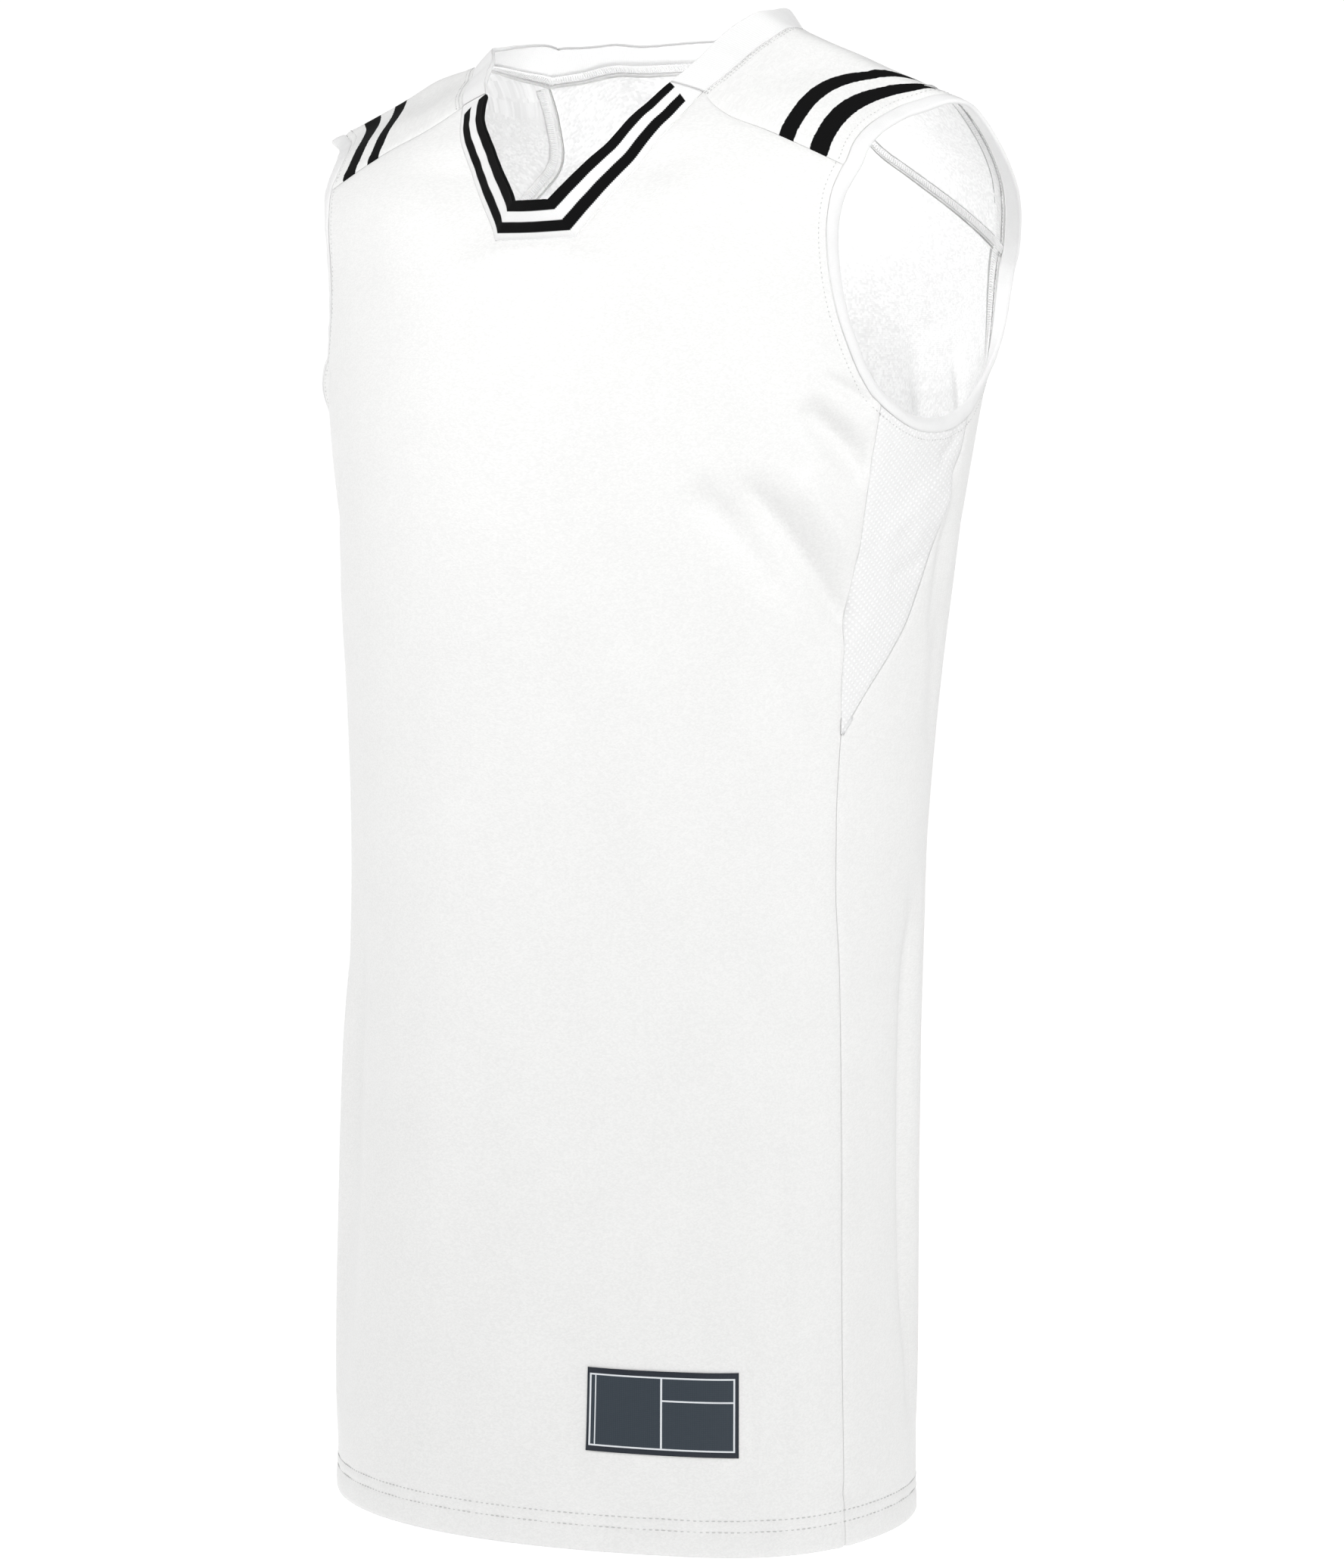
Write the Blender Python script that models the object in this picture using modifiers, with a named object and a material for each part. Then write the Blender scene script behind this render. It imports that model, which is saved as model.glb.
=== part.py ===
"""Sleeveless V-neck basketball jersey, adult medium, filled out as if it were worn.

Metres, +Z up. The origin lies midway between the two high points of the shoulders, where
the collar is sewn on and where the wearer carries the jersey. The front faces -Y and the
wearer's left side is +X.

The whole garment is one smooth form, ring(theta, drop): a stack of level rings below the
underarm which bend up over the sloping shoulders above it. Each cut piece is a patch of
that form between its own seam lines, given a wall by a Solidify modifier.
"""

import math

import bpy
import numpy as np

# ---- sizes ---------------------------------------------------------------------------
HEM_DROP = 0.745           # high point of the shoulder to the hem, straight down
SHOULDER_SLOPE = 0.415     # fall of the shoulder per metre outward
NECK_HALF = 0.0975         # half width of the neck seam on the shoulder
NAPE_RISE = 0.023          # how far the back of the neck stands above the shoulder form
SHOULDER_LEAN = 0.0052     # left neck point above the level, and right one below it
HEM_SAG = 0.004
PANEL_WALL = 0.0014        # one layer of heavy polyester cloth
HEM_WALL = 0.0026          # the same turned up, over HEM_DEPTH
HEM_DEPTH = 0.018
BAND_WALL = 0.0024         # bindings and collar, folded double
BINDING_WIDTH = 0.0085
LABEL_WALL = 0.0010
SEAM_GAP = 0.0003          # between neighbouring pieces
BORDER = 0.004             # width of the narrow row of faces along every seam

# ---- sections of the form ---------------------------------------------------------------
# drop: below the shoulder point. front_half, back_half: centre to the side line, which are
# equal wherever the sides are closed. front, back: depth from the side line to the middle
# of the front and of the back. side_y: where the side line lies. front_power, back_power:
# 2 is an ellipse, more is squarer.
SECTION_COLUMNS = ("drop", "front_half", "back_half", "front", "back", "side_y", "front_power", "back_power")
SECTIONS = (
    (0.000, 0.222, 0.222, 0.0000, 0.000, 0.0000, 2.80, 2.80),
    (0.012, 0.222, 0.223, 0.0218, 0.032, 0.0000, 2.80, 2.85),
    (0.020, 0.222, 0.224, 0.0330, 0.043, 0.0000, 2.80, 2.88),
    (0.033, 0.220, 0.225, 0.0483, 0.059, 0.0000, 2.80, 2.90),
    (0.047, 0.215, 0.225, 0.0602, 0.073, 0.0000, 2.80, 2.90),
    (0.065, 0.204, 0.222, 0.0740, 0.088, 0.0000, 2.55, 2.88),
    (0.083, 0.197, 0.217, 0.0845, 0.0985, 0.0005, 2.30, 2.84),
    (0.100, 0.193, 0.210, 0.0905, 0.1052, 0.0010, 2.15, 2.78),
    (0.125, 0.189, 0.199, 0.0970, 0.1120, 0.0030, 2.10, 2.68),
    (0.150, 0.185, 0.1895, 0.1030, 0.1157, 0.0050, 2.15, 2.58),
    (0.203, 0.177, 0.177, 0.1130, 0.1185, 0.0080, 2.30, 2.42),
    (0.260, 0.170, 0.170, 0.1160, 0.1180, 0.0055, 2.25, 2.30),
    (0.340, 0.162, 0.162, 0.1160, 0.1160, 0.0030, 2.20, 2.20),
    (0.420, 0.1574, 0.1574, 0.1170, 0.1150, 0.0000, 2.15, 2.15),
    (0.520, 0.1562, 0.1562, 0.1200, 0.1165, -0.0055, 2.10, 2.10),
    (0.620, 0.1566, 0.1566, 0.1240, 0.1215, -0.0090, 2.05, 2.05),
    (0.745, 0.1592, 0.1592, 0.1290, 0.129, -0.0103, 2.00, 2.00),
)


def spline(knots, values, at):
    """Smooth curve through the knots, its slope at each the mean of the slopes beside it."""
    knots, values = np.asarray(knots, float), np.asarray(values, float)
    at = np.asarray(at, float)
    run = np.diff(knots)
    rise = np.diff(values) / run
    slope = np.concatenate(([rise[0]], (rise[1:] * run[:-1] + rise[:-1] * run[1:]) / (run[1:] + run[:-1]), [rise[-1]]))
    i = np.clip(np.searchsorted(knots, at, side="right") - 1, 0, len(run) - 1)
    s = (at - knots[i]) / run[i]
    inside = np.clip(s, 0.0, 1.0)
    h = run[i]
    value = (
        values[i] * (1 + 2 * inside) * (1 - inside) ** 2
        + values[i + 1] * inside**2 * (3 - 2 * inside)
        + h * slope[i] * inside * (1 - inside) ** 2
        + h * slope[i + 1] * inside**2 * (inside - 1)
    )
    beyond = (s - inside) * h
    return value + beyond * np.where(s < 0, slope[0], slope[-1])


def section(front_column, back_column, level):
    """A column of SECTIONS down the front (level > 0) and down the back (level < 0), as one smooth curve over the shoulder."""
    table = np.array(SECTIONS)
    levels = np.concatenate((-np.sqrt(table[:0:-1, 0]), np.sqrt(table[:, 0])))
    front = table[:, SECTION_COLUMNS.index(front_column)]
    back = table[:, SECTION_COLUMNS.index(back_column)]
    if front_column == "front":
        front = -front
    return spline(levels, np.concatenate((back[:0:-1], front)), level)


def ridge(x):
    """Height of the top of the shoulder at a distance from the middle."""
    bend = 0.011
    out = (np.abs(x) - (NECK_HALF - 0.006)) / bend
    fall = SHOULDER_SLOPE * bend * np.logaddexp(0.0, out)
    at_neck = SHOULDER_SLOPE * bend * np.logaddexp(0.0, 0.006 / bend)
    return at_neck - fall


def step(start, stop, at):
    """Smooth step from 0 at start to 1 at stop."""
    s = np.clip((at - start) / (stop - start), 0.0, 1.0)
    return s * s * (3.0 - 2.0 * s)


def nape(x, level):
    """Rise of the back where it climbs to the neck."""
    return NAPE_RISE * (1.0 - step(0.045, 0.105, np.abs(x))) * step(0.0, 0.15, -level) * (1.0 - step(0.03, 0.17, level**2))


def lean(x, level):
    """The jersey hangs with its left shoulder a little higher than its right, most of all at the neck."""
    sideways = np.tanh(x / 0.06) * (1.0 - 0.6 * step(0.09, 0.13, np.abs(x)) - 0.35 * step(0.14, 0.20, -x))
    return SHOULDER_LEAN * sideways * (1.0 - step(0.0, np.where(level > 0, 0.035, 0.030), level**2))


def sag(column, level):
    """The hem hangs a little lower at the left of the front."""
    theta = np.where(level > 0, column, 180.0 - column)
    return HEM_SAG * np.exp(-(((theta - 62.0) / 28.0) ** 2)) * step(0.60, HEM_DROP, level**2)


def sheet(column, level):
    """Point of the form. column: angle from the middle to +-90 at the side, the same on front and back.
    level: root of the drop, positive down the front and negative down the back."""
    column, level = np.broadcast_arrays(np.asarray(column, float), np.asarray(level, float))
    drop = level**2
    across, along = np.sin(np.radians(column)), np.cos(np.radians(column))
    power = 2.0 / section("front_power", "back_power", level)
    half, other_half = (section("front_half", "back_half", each) for each in (level, -level))
    half = half + 0.5 * (other_half - half) * step(62.0, 90.0, np.abs(column))  # they meet at the side line
    x = half * np.sign(across) * np.abs(across) ** power
    y = section("side_y", "side_y", level) + section("front", "back", level) * np.abs(along) ** power
    lift = 1.0 - step(0.0, 0.215, drop)
    z = -drop + lift * ridge(x) + nape(x, level) + lean(x, level) - sag(column, level)
    return np.stack((x, y, z), -1)


def ring(theta, level):
    """The same form round the body: theta 0 is the middle of the front, 90 the left side, 180 the middle of the back."""
    theta, level = np.broadcast_arrays(np.asarray(theta, float), np.asarray(level, float))
    turned = (theta + 180.0) % 360.0 - 180.0
    back = np.abs(turned) > 90.0
    column = np.where(back, np.sign(turned) * (180.0 - np.abs(turned)), turned)
    return sheet(column, np.where(back, -np.abs(level), np.abs(level)))


# ---- folds --------------------------------------------------------------------------------
# Each is a soft trough (height < 0) or ridge (height > 0) along a line from one place of the
# form to another, tapering to both ends. width: from its line to where it has mostly faded.
FOLD_COLUMNS = ("theta_from", "drop_from", "theta_to", "drop_to", "width", "height")
FOLDS = (
    (13.5, 0.029, 6.5, 0.112, 0.0240, -0.0050),    # drawn in beside the V of the neck
    (-13.5, 0.029, -6.5, 0.112, 0.0240, -0.0050),
    (50.0, 0.195, 70.0, 0.285, 0.0130, -0.0060),   # drag line from the chest to the left side seam
    (56.0, 0.180, 72.0, 0.245, 0.0110, 0.0035),    # the roll above it
    (38.0, 0.225, 66.0, 0.330, 0.0160, -0.0030),   # softer one below
    (57.0, 0.160, 69.0, 0.200, 0.0090, -0.0035),   # pucker beside the left armhole
    (52.0, 0.300, 66.0, 0.400, 0.0150, -0.0025),
    (24.0, 0.300, 34.0, 0.470, 0.0220, 0.0035),    # long upright rolls down the front
    (14.0, 0.430, 20.0, 0.700, 0.0200, -0.0030),
    (52.0, 0.450, 46.0, 0.690, 0.0220, 0.0025),
    (-12.0, 0.380, -16.0, 0.660, 0.0260, 0.0025),
    (-44.0, 0.430, -50.0, 0.700, 0.0170, -0.0035),
    (-56.0, 0.470, -60.0, 0.720, 0.0140, 0.0030),
    (-52.0, 0.200, -72.0, 0.290, 0.0140, -0.0045),  # drag line to the right side seam
    (-58.0, 0.160, -80.0, 0.180, 0.0130, 0.0035),
    (84.0, 0.250, 99.0, 0.225, 0.0110, 0.0030),    # across the left gusset
    (-84.0, 0.260, -99.0, 0.230, 0.0110, 0.0030),
    (95.0, 0.440, 98.0, 0.640, 0.0110, -0.0045),   # upright crease down the left side of the back
    (104.0, 0.400, 108.0, 0.700, 0.0160, 0.0030),
    (-98.0, 0.420, -101.0, 0.650, 0.0130, -0.0040),
    (150.0, 0.140, 128.0, 0.290, 0.0180, -0.0035),  # from the shoulder blades to the sides
    (-152.0, 0.150, -126.0, 0.300, 0.0180, -0.0035),
    (150.0, 0.400, 144.0, 0.690, 0.0240, 0.0035),
    (-164.0, 0.380, -158.0, 0.700, 0.0240, -0.0030),
    (-136.0, 0.430, -132.0, 0.690, 0.0200, 0.0030),
    (176.0, 0.450, 172.0, 0.710, 0.0220, 0.0025),
)
METRES_PER_DEGREE = 0.0026


def fold_height(theta, drop):
    """Height of all the folds together at places of the form. There are none on the yokes."""
    total = np.zeros(np.broadcast(theta, drop).shape)
    for theta_from, drop_from, theta_to, drop_to, width, height in FOLDS:
        run = np.array([(theta_to - theta_from) * METRES_PER_DEGREE, drop_to - drop_from])
        away = (theta - theta_from + 180.0) % 360.0 - 180.0
        across, down = away * METRES_PER_DEGREE, drop - drop_from
        along = np.clip((across * run[0] + down * run[1]) / (run @ run), 0.0, 1.0)
        squared = (across - along * run[0]) ** 2 + (down - along * run[1]) ** 2
        total += height * (1.0 - (2.0 * along - 1.0) ** 4) * np.exp(-squared / width**2)
    return total * step(0.050, 0.070, drop)


def outward(theta, level, surface=ring):
    """Unit normal of the form."""
    wide, tall = 0.05, 5e-4
    across = surface(theta + wide, level) - surface(theta - wide, level)
    down = surface(theta, level + tall) - surface(theta, level - tall)
    normal = np.cross(down, across)
    return normal / np.linalg.norm(normal, axis=-1, keepdims=True)


def cloth(theta, level):
    """Point of the outer face of the cloth: the form with its folds."""
    theta, level = np.broadcast_arrays(np.asarray(theta, float), np.asarray(level, float))
    height = fold_height(theta, level**2)
    points = ring(theta, level)
    moved = np.abs(height) > 1e-6
    points[moved] += height[moved][:, None] * outward(theta[moved], level[moved])
    return points


# ---- seam lines, left half, as places of the form ---------------------------------------------
# The binding is sewn on along ARMHOLE, from the top of the shoulder down the front, under
# the arm and up the back to the top again. flare: how far, in degrees, it stands off the form
# at the seam. roll: how far it has turned into the armhole from there to its free edge.
ARMHOLE_COLUMNS = ("theta", "drop", "flare", "roll")
ARMHOLE = (
    (52.6, 0.0000, 5.0, 12.0), (48.0, 0.0050, 4.0, 10.0), (43.6, 0.0130, 4.0, 8.0), (40.3, 0.0250, 4.0, 8.0),
    (39.8, 0.0370, 2.0, 10.0),
    (41.2, 0.0490, 0.0, 22.0),   # front seam of the yoke
    (44.6, 0.0630, 2.0, 56.0), (48.4, 0.0805, 3.0, 76.0), (51.6, 0.1010, 4.0, 84.0), (54.5, 0.1245, 4.0, 84.0),
    (58.3, 0.1460, 4.0, 80.0), (64.0, 0.1690, 4.0, 74.0),
    (70.6, 0.1840, 4.0, 68.0),   # front seam of the gusset
    (81.0, 0.1956, 4.0, 62.0), (91.0, 0.1970, 6.0, 50.0),
    (100.5, 0.1880, 9.0, 28.0),  # rear seam of the gusset
    (108.5, 0.1728, 14.0, 12.0), (117.6, 0.1545, 18.0, 4.0), (125.0, 0.1330, 24.0, 0.0), (130.0, 0.1110, 28.0, 0.0),
    (132.2, 0.0905, 30.0, 0.0),  # back seam of the yoke
    (131.8, 0.0710, 29.0, 0.0), (129.8, 0.0520, 25.0, 2.0), (127.0, 0.0350, 19.0, 6.0), (125.3, 0.0200, 13.0, 10.0),
    (125.9, 0.0070, 8.0, 12.0), (127.4, 0.0000, 5.0, 12.0),
)
AT_YOKE_FRONT, AT_GUSSET_FRONT, AT_GUSSET_REAR, AT_YOKE_BACK = 5, 12, 15, 20

PLACE_COLUMNS = ("theta", "drop")
SIDE_SEAM = (
    (76.7, 0.7450), (76.4, 0.6200), (75.6, 0.5440), (73.6, 0.4690), (71.2, 0.4240), (70.1, 0.3790), (69.8, 0.3466),
)
GUSSET_FRONT = ((69.8, 0.3466), (68.8, 0.3160), (69.2, 0.2730), (70.2, 0.2400), ARMHOLE[AT_GUSSET_FRONT][:2])
GUSSET_REAR = (
    (69.8, 0.3466), (76.0, 0.3260), (83.0, 0.3060), (88.0, 0.2880), (91.8, 0.2600), (96.0, 0.2310), (99.8, 0.2080),
    ARMHOLE[AT_GUSSET_REAR][:2],
)
YOKE_FRONT = ((12.7, 0.0330), (15.2, 0.0393), (19.0, 0.0438), (25.0, 0.0451), (32.6, 0.0468), ARMHOLE[AT_YOKE_FRONT][:2])
YOKE_BACK = ((165.8, 0.0196), (164.6, 0.0340), (162.4, 0.0500), (156.6, 0.0602), (147.0, 0.0720), ARMHOLE[AT_YOKE_BACK][:2])
NECK_BACK = ((165.8, 0.0196), (169.8, 0.0284), (174.6, 0.0336), (180.0, 0.0348))
V_SIDE = ((12.7, 0.0330), (11.5, 0.0450), (10.5, 0.0650), (9.0, 0.0840), (6.5, 0.1033))
V_FLAT = ((6.5, 0.1033), (0.0, 0.1040), (-6.5, 0.1033))
# The neck seam beside the yoke, from its front seam over the shoulder to its back seam.
NECK_SIDE_COLUMNS = ("column", "level")
NECK_SIDE = ((12.7, 0.1817), (14.4, 0.1560), (16.0, 0.1150), (17.9, 0.0620), (18.4, 0.0000), (17.0, -0.0750), (14.2, -0.1400))

# The collar's free edge, measured from its seam. landmark: 0 the middle of the V, 1 its
# corner, 2 the front seam of the yoke, 3 the top of the shoulder, 4 the back seam of the
# yoke, 5 the middle of the back.
COLLAR_COLUMNS = ("landmark", "inward", "rearward", "up")
COLLAR = (
    (0.0, 0.0000, 0.0010, 0.0186),
    (1.0, 0.0142, 0.0010, 0.0186),
    (2.0, 0.0174, -0.0032, 0.0054),
    (2.5, 0.0158, -0.0034, 0.0092),
    (3.0, 0.0122, -0.0034, 0.0090),
    (4.0, 0.0085, -0.0045, 0.0158),
    (4.5, 0.0040, -0.0062, 0.0146),
    (5.0, 0.0000, -0.0070, 0.0150),
)

# Number of faces along each seam line, and across the bands.
SIDE_FACES, GUSSET_FACES, ARM_FRONT_FACES, ARM_UNDER_FACES, ARM_BACK_FACES = 13, 9, 10, 6, 10
ARM_TOP_FACES, YOKE_FACES, V_SIDE_FACES, V_FLAT_FACES, NECK_BACK_FACES = 12, 7, 7, 3, 10

LABEL_CORNERS = ((21.8, 0.6553), (51.4, 0.6560), (51.6, 0.6966), (22.0, 0.6957))  # upper right, upper left, lower left, lower right

COLOURS = {
    "satin": ((0.86, 0.86, 0.85, 1.0), 0.42),
    "mesh": ((0.84, 0.84, 0.84, 1.0), 0.70),
    "knit": ((0.88, 0.88, 0.87, 1.0), 0.65),
    "label": ((0.035, 0.055, 0.085, 1.0), 0.55),
}


def measured(points):
    """Distance along a line of points, from 0."""
    return np.concatenate(([0.0], np.cumsum(np.linalg.norm(np.diff(points, axis=0), axis=1))))


def stops(faces, length, first=True, last=True):
    """Fractions of a seam line at its vertices: even steps, with a narrow one at each end that has a border."""
    ends = [BORDER / length] * bool(first), [BORDER / length] * bool(last)
    inner = faces - len(ends[0]) - len(ends[1])
    even = np.linspace(ends[0][0] if first else 0.0, 1.0 - (ends[1][0] if last else 0.0), inner + 1)
    return np.concatenate(([0.0] * bool(first), even, [1.0] * bool(last)))


def line(table, faces, first=True, last=True, at=None, between=None, surface=ring):
    """Places at the vertices of one seam line, which each piece beside it shares.
    at: gives the distances of the vertices from the line's length. between: the two rows of a
    longer table where the line runs. surface: ring for rows (theta, drop), sheet for rows (column, level)."""
    table = np.array([row[:2] for row in table])
    if surface is ring:
        table[:, 1] = np.sqrt(table[:, 1])
    rows = np.arange(len(table))
    start, end = between or (0, len(table) - 1)
    fine = np.linspace(start, end, 400)
    places = np.stack([spline(rows, table[:, k], fine) for k in (0, 1)], -1)
    far = measured(surface(places[:, 0], places[:, 1]))
    wanted = stops(faces, far[-1], first, last) * far[-1] if at is None else at(far[-1])
    return np.stack([np.interp(wanted, far, places[:, k]) for k in (0, 1)], -1)


def coons(bottom, top, left, right):
    """Grid of places between four lines that share their corners. Rows run from bottom to top."""
    rows = measured((left + right) / 2 * (METRES_PER_DEGREE, 1.0))
    columns = measured((bottom + top) / 2 * (METRES_PER_DEGREE, 1.0))
    v, u = (rows / rows[-1])[:, None, None], (columns / columns[-1])[None, :, None]
    ruled = (1 - v) * bottom[None] + v * top[None] + (1 - u) * left[:, None] + u * right[:, None]
    corners = (1 - u) * (1 - v) * bottom[0] + u * (1 - v) * bottom[-1] + (1 - u) * v * top[0] + u * v * top[-1]
    return ruled - corners


def inset(points, gap=SEAM_GAP / 2, sides="btlr"):
    """Moves the named sides of a grid of points inward by half of a seam's gap."""
    moved = points.copy()
    for side, edge, inner, axis in (("b", 0, 1, 0), ("t", -1, -2, 0), ("l", 0, 1, 1), ("r", -1, -2, 1)):
        if side not in sides:
            continue
        lines = points if axis == 0 else points.swapaxes(0, 1)
        out = moved if axis == 0 else moved.swapaxes(0, 1)
        seam_line, into = lines[edge], lines[inner] - lines[edge]
        tangent = np.gradient(seam_line, axis=0)
        tangent /= np.linalg.norm(tangent, axis=1, keepdims=True)
        square = into - (into * tangent).sum(1, keepdims=True) * tangent
        out[edge] += gap * into / np.linalg.norm(square, axis=1, keepdims=True)
    return moved


# ---- objects -----------------------------------------------------------------------------------
def material(kind):
    if kind in bpy.data.materials:
        return bpy.data.materials[kind]
    made = bpy.data.materials.new(kind)
    made.use_nodes = True
    shader = made.node_tree.nodes["Principled BSDF"]
    colour, roughness = COLOURS[kind]
    shader.inputs["Base Color"].default_value = colour
    shader.inputs["Roughness"].default_value = roughness
    shader.inputs["Metallic"].default_value = 0.0
    made.diffuse_color = colour
    return made


def piece(name, points, wall, kind, closed=False, out_from=None, thick=None):
    """One cut piece: an open grid of points, row by row, with a Solidify wall on its inner side.
    closed: the rows are loops. out_from: a point inside, from which the outer face looks away.
    thick: (height above the hem up to which the wall is the thicker one, that wall)."""
    rows, columns = points.shape[:2]
    wrap = columns if closed else columns - 1
    faces = [
        (r * columns + c, r * columns + (c + 1) % columns, (r + 1) * columns + (c + 1) % columns, (r + 1) * columns + c)
        for r in range(rows - 1)
        for c in range(wrap)
    ]
    flat = points.reshape(-1, 3)
    corners = flat[np.array(faces)]
    normals = np.cross(corners[:, 2] - corners[:, 0], corners[:, 3] - corners[:, 1])
    away = corners.mean(1) - np.asarray(out_from)
    if (normals * away).sum() < 0:
        faces = [face[::-1] for face in faces]
    mesh = bpy.data.meshes.new(name)
    mesh.from_pydata(flat.tolist(), [], faces)
    mesh.shade_smooth()
    made = bpy.data.objects.new(name, mesh)
    mesh.materials.append(material(kind))
    jersey.objects.link(made)
    solidify = made.modifiers.new("Wall", "SOLIDIFY")
    solidify.thickness, solidify.offset = wall, -1.0
    solidify.use_even_offset = False
    solidify.use_quality_normals = True
    if thick:
        height, thickest = thick
        group = made.vertex_groups.new(name="hem")
        for i, z in enumerate(flat[:, 2]):
            weight = 1.0 - float(step(height - 0.002, height + 0.002, z + HEM_DROP))
            group.add([i], weight, "REPLACE")
        solidify.thickness = thickest
        solidify.vertex_group = group.name
        solidify.thickness_vertex_group = wall / thickest
    return made


for old in list(bpy.data.objects):
    bpy.data.objects.remove(old, do_unlink=True)
jersey = bpy.data.collections.new("Basketball jersey")
bpy.context.scene.collection.children.link(jersey)

# seams of the left half; those of the right half are their mirror images
def hem_stops(length):
    return np.concatenate(([0.0, HEM_DEPTH - 0.002], np.linspace(HEM_DEPTH + 0.002, length, SIDE_FACES - 1)))


side = line(SIDE_SEAM, SIDE_FACES, at=hem_stops)
gusset_front = line(GUSSET_FRONT, GUSSET_FACES, first=False)
gusset_rear = line(GUSSET_REAR, GUSSET_FACES, first=False)
arm_front = line(ARMHOLE, ARM_FRONT_FACES, last=False, between=(AT_YOKE_FRONT, AT_GUSSET_FRONT))
arm_under = line(ARMHOLE, ARM_UNDER_FACES, between=(AT_GUSSET_FRONT, AT_GUSSET_REAR))
arm_back = line(ARMHOLE, ARM_BACK_FACES, first=False, between=(AT_GUSSET_REAR, AT_YOKE_BACK))
over_shoulder = [(row[0], math.sqrt(row[1])) for row in ARMHOLE[AT_YOKE_FRONT::-1]]
over_shoulder += [(180.0 - row[0], -math.sqrt(row[1])) for row in ARMHOLE[-2 : AT_YOKE_BACK - 1 : -1]]
arm_top = line(over_shoulder, ARM_TOP_FACES, surface=sheet)
yoke_front = line(YOKE_FRONT, YOKE_FACES)
yoke_back = line(YOKE_BACK, YOKE_FACES)
neck_side = line(NECK_SIDE, ARM_TOP_FACES, surface=sheet)
neck_back = line(NECK_BACK, NECK_BACK_FACES, last=False)
v_side = line(V_SIDE, V_SIDE_FACES, last=False)
v_flat = line(V_FLAT, V_FLAT_FACES, first=False, last=False)


def joined(*lines):
    """Lines end to end, each without the first place, which the one before it already has."""
    return np.concatenate([lines[0]] + [each[1:] for each in lines[1:]])


def other_side(places, whole=0.0):
    return np.array((whole, 0.0)) + places[::-1] * (-1.0, 1.0)


def hem(theta_from, theta_to, columns):
    fractions = stops(columns - 1, abs(theta_to - theta_from) * METRES_PER_DEGREE)
    theta = theta_from + (theta_to - theta_from) * fractions
    return np.stack((theta, np.full(columns, math.sqrt(HEM_DROP))), -1)


# front and back panels
left = joined(side, gusset_front, arm_front[::-1])
top = joined(yoke_front[::-1], v_side, v_flat, other_side(v_side), other_side(yoke_front[::-1]))
grid = coons(hem(side[0, 0], -side[0, 0], len(top)), top, left, left * (-1.0, 1.0))
front_points = cloth(grid[..., 0], grid[..., 1])
piece("front_panel", inset(front_points), PANEL_WALL, "satin", out_from=(0.0, 0.0, -0.35), thick=(HEM_DEPTH, HEM_WALL))

left = joined(side, gusset_rear, arm_back, yoke_back[::-1])
top = joined(neck_back, other_side(neck_back, 360.0))
grid = coons(hem(side[0, 0], 360.0 - side[0, 0], len(top)), top, left, np.array((360.0, 0.0)) + left * (-1.0, 1.0))
piece("back_panel", inset(cloth(grid[..., 0], grid[..., 1])), PANEL_WALL, "satin", out_from=(0.0, 0.0, -0.35), thick=(HEM_DEPTH, HEM_WALL))

# yokes, over the shoulders
lower = yoke_front[::-1]
upper = np.stack((180.0 - yoke_back[::-1, 0], -yoke_back[::-1, 1]), -1)
grid = coons(lower, upper, arm_top, neck_side)
yoke_points = inset(sheet(grid[..., 0], grid[..., 1]))
piece("yoke_left", yoke_points, PANEL_WALL, "satin", out_from=(0.13, 0.0, -0.12))
yoke_points = inset(sheet(-grid[..., 0], grid[..., 1]))
piece("yoke_right", yoke_points, PANEL_WALL, "satin", out_from=(-0.13, 0.0, -0.12))

# mesh gussets under the arms, cut off blunt at their points
TIP = 0.10
tip_front = gusset_front[0] + TIP * (gusset_front[1] - gusset_front[0])
tip_rear = gusset_rear[0] + TIP * (gusset_rear[1] - gusset_rear[0])
for name, turn in (("side_gusset_left", 1.0), ("side_gusset_right", -1.0)):
    first = np.vstack((tip_front, gusset_front[1:]))
    last = np.vstack((tip_rear, gusset_rear[1:]))
    tip = tip_front + (tip_rear - tip_front) * np.linspace(0.0, 1.0, len(arm_under))[:, None]
    grid = coons(tip, arm_under, first, last)
    points = cloth(turn * grid[..., 0], grid[..., 1])
    for edge, seam_line in ((0, gusset_front), (-1, gusset_rear)):
        ends = cloth(turn * seam_line[:2, 0], seam_line[:2, 1])
        points[0, edge] = ends[0] + TIP * (ends[1] - ends[0])
    points[0] = points[0, 0] + (points[0, -1] - points[0, 0]) * np.linspace(0.0, 1.0, points.shape[1])[:, None]
    piece(name, inset(points), PANEL_WALL, "mesh", out_from=(0.0, 0.0, -0.25))


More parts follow.
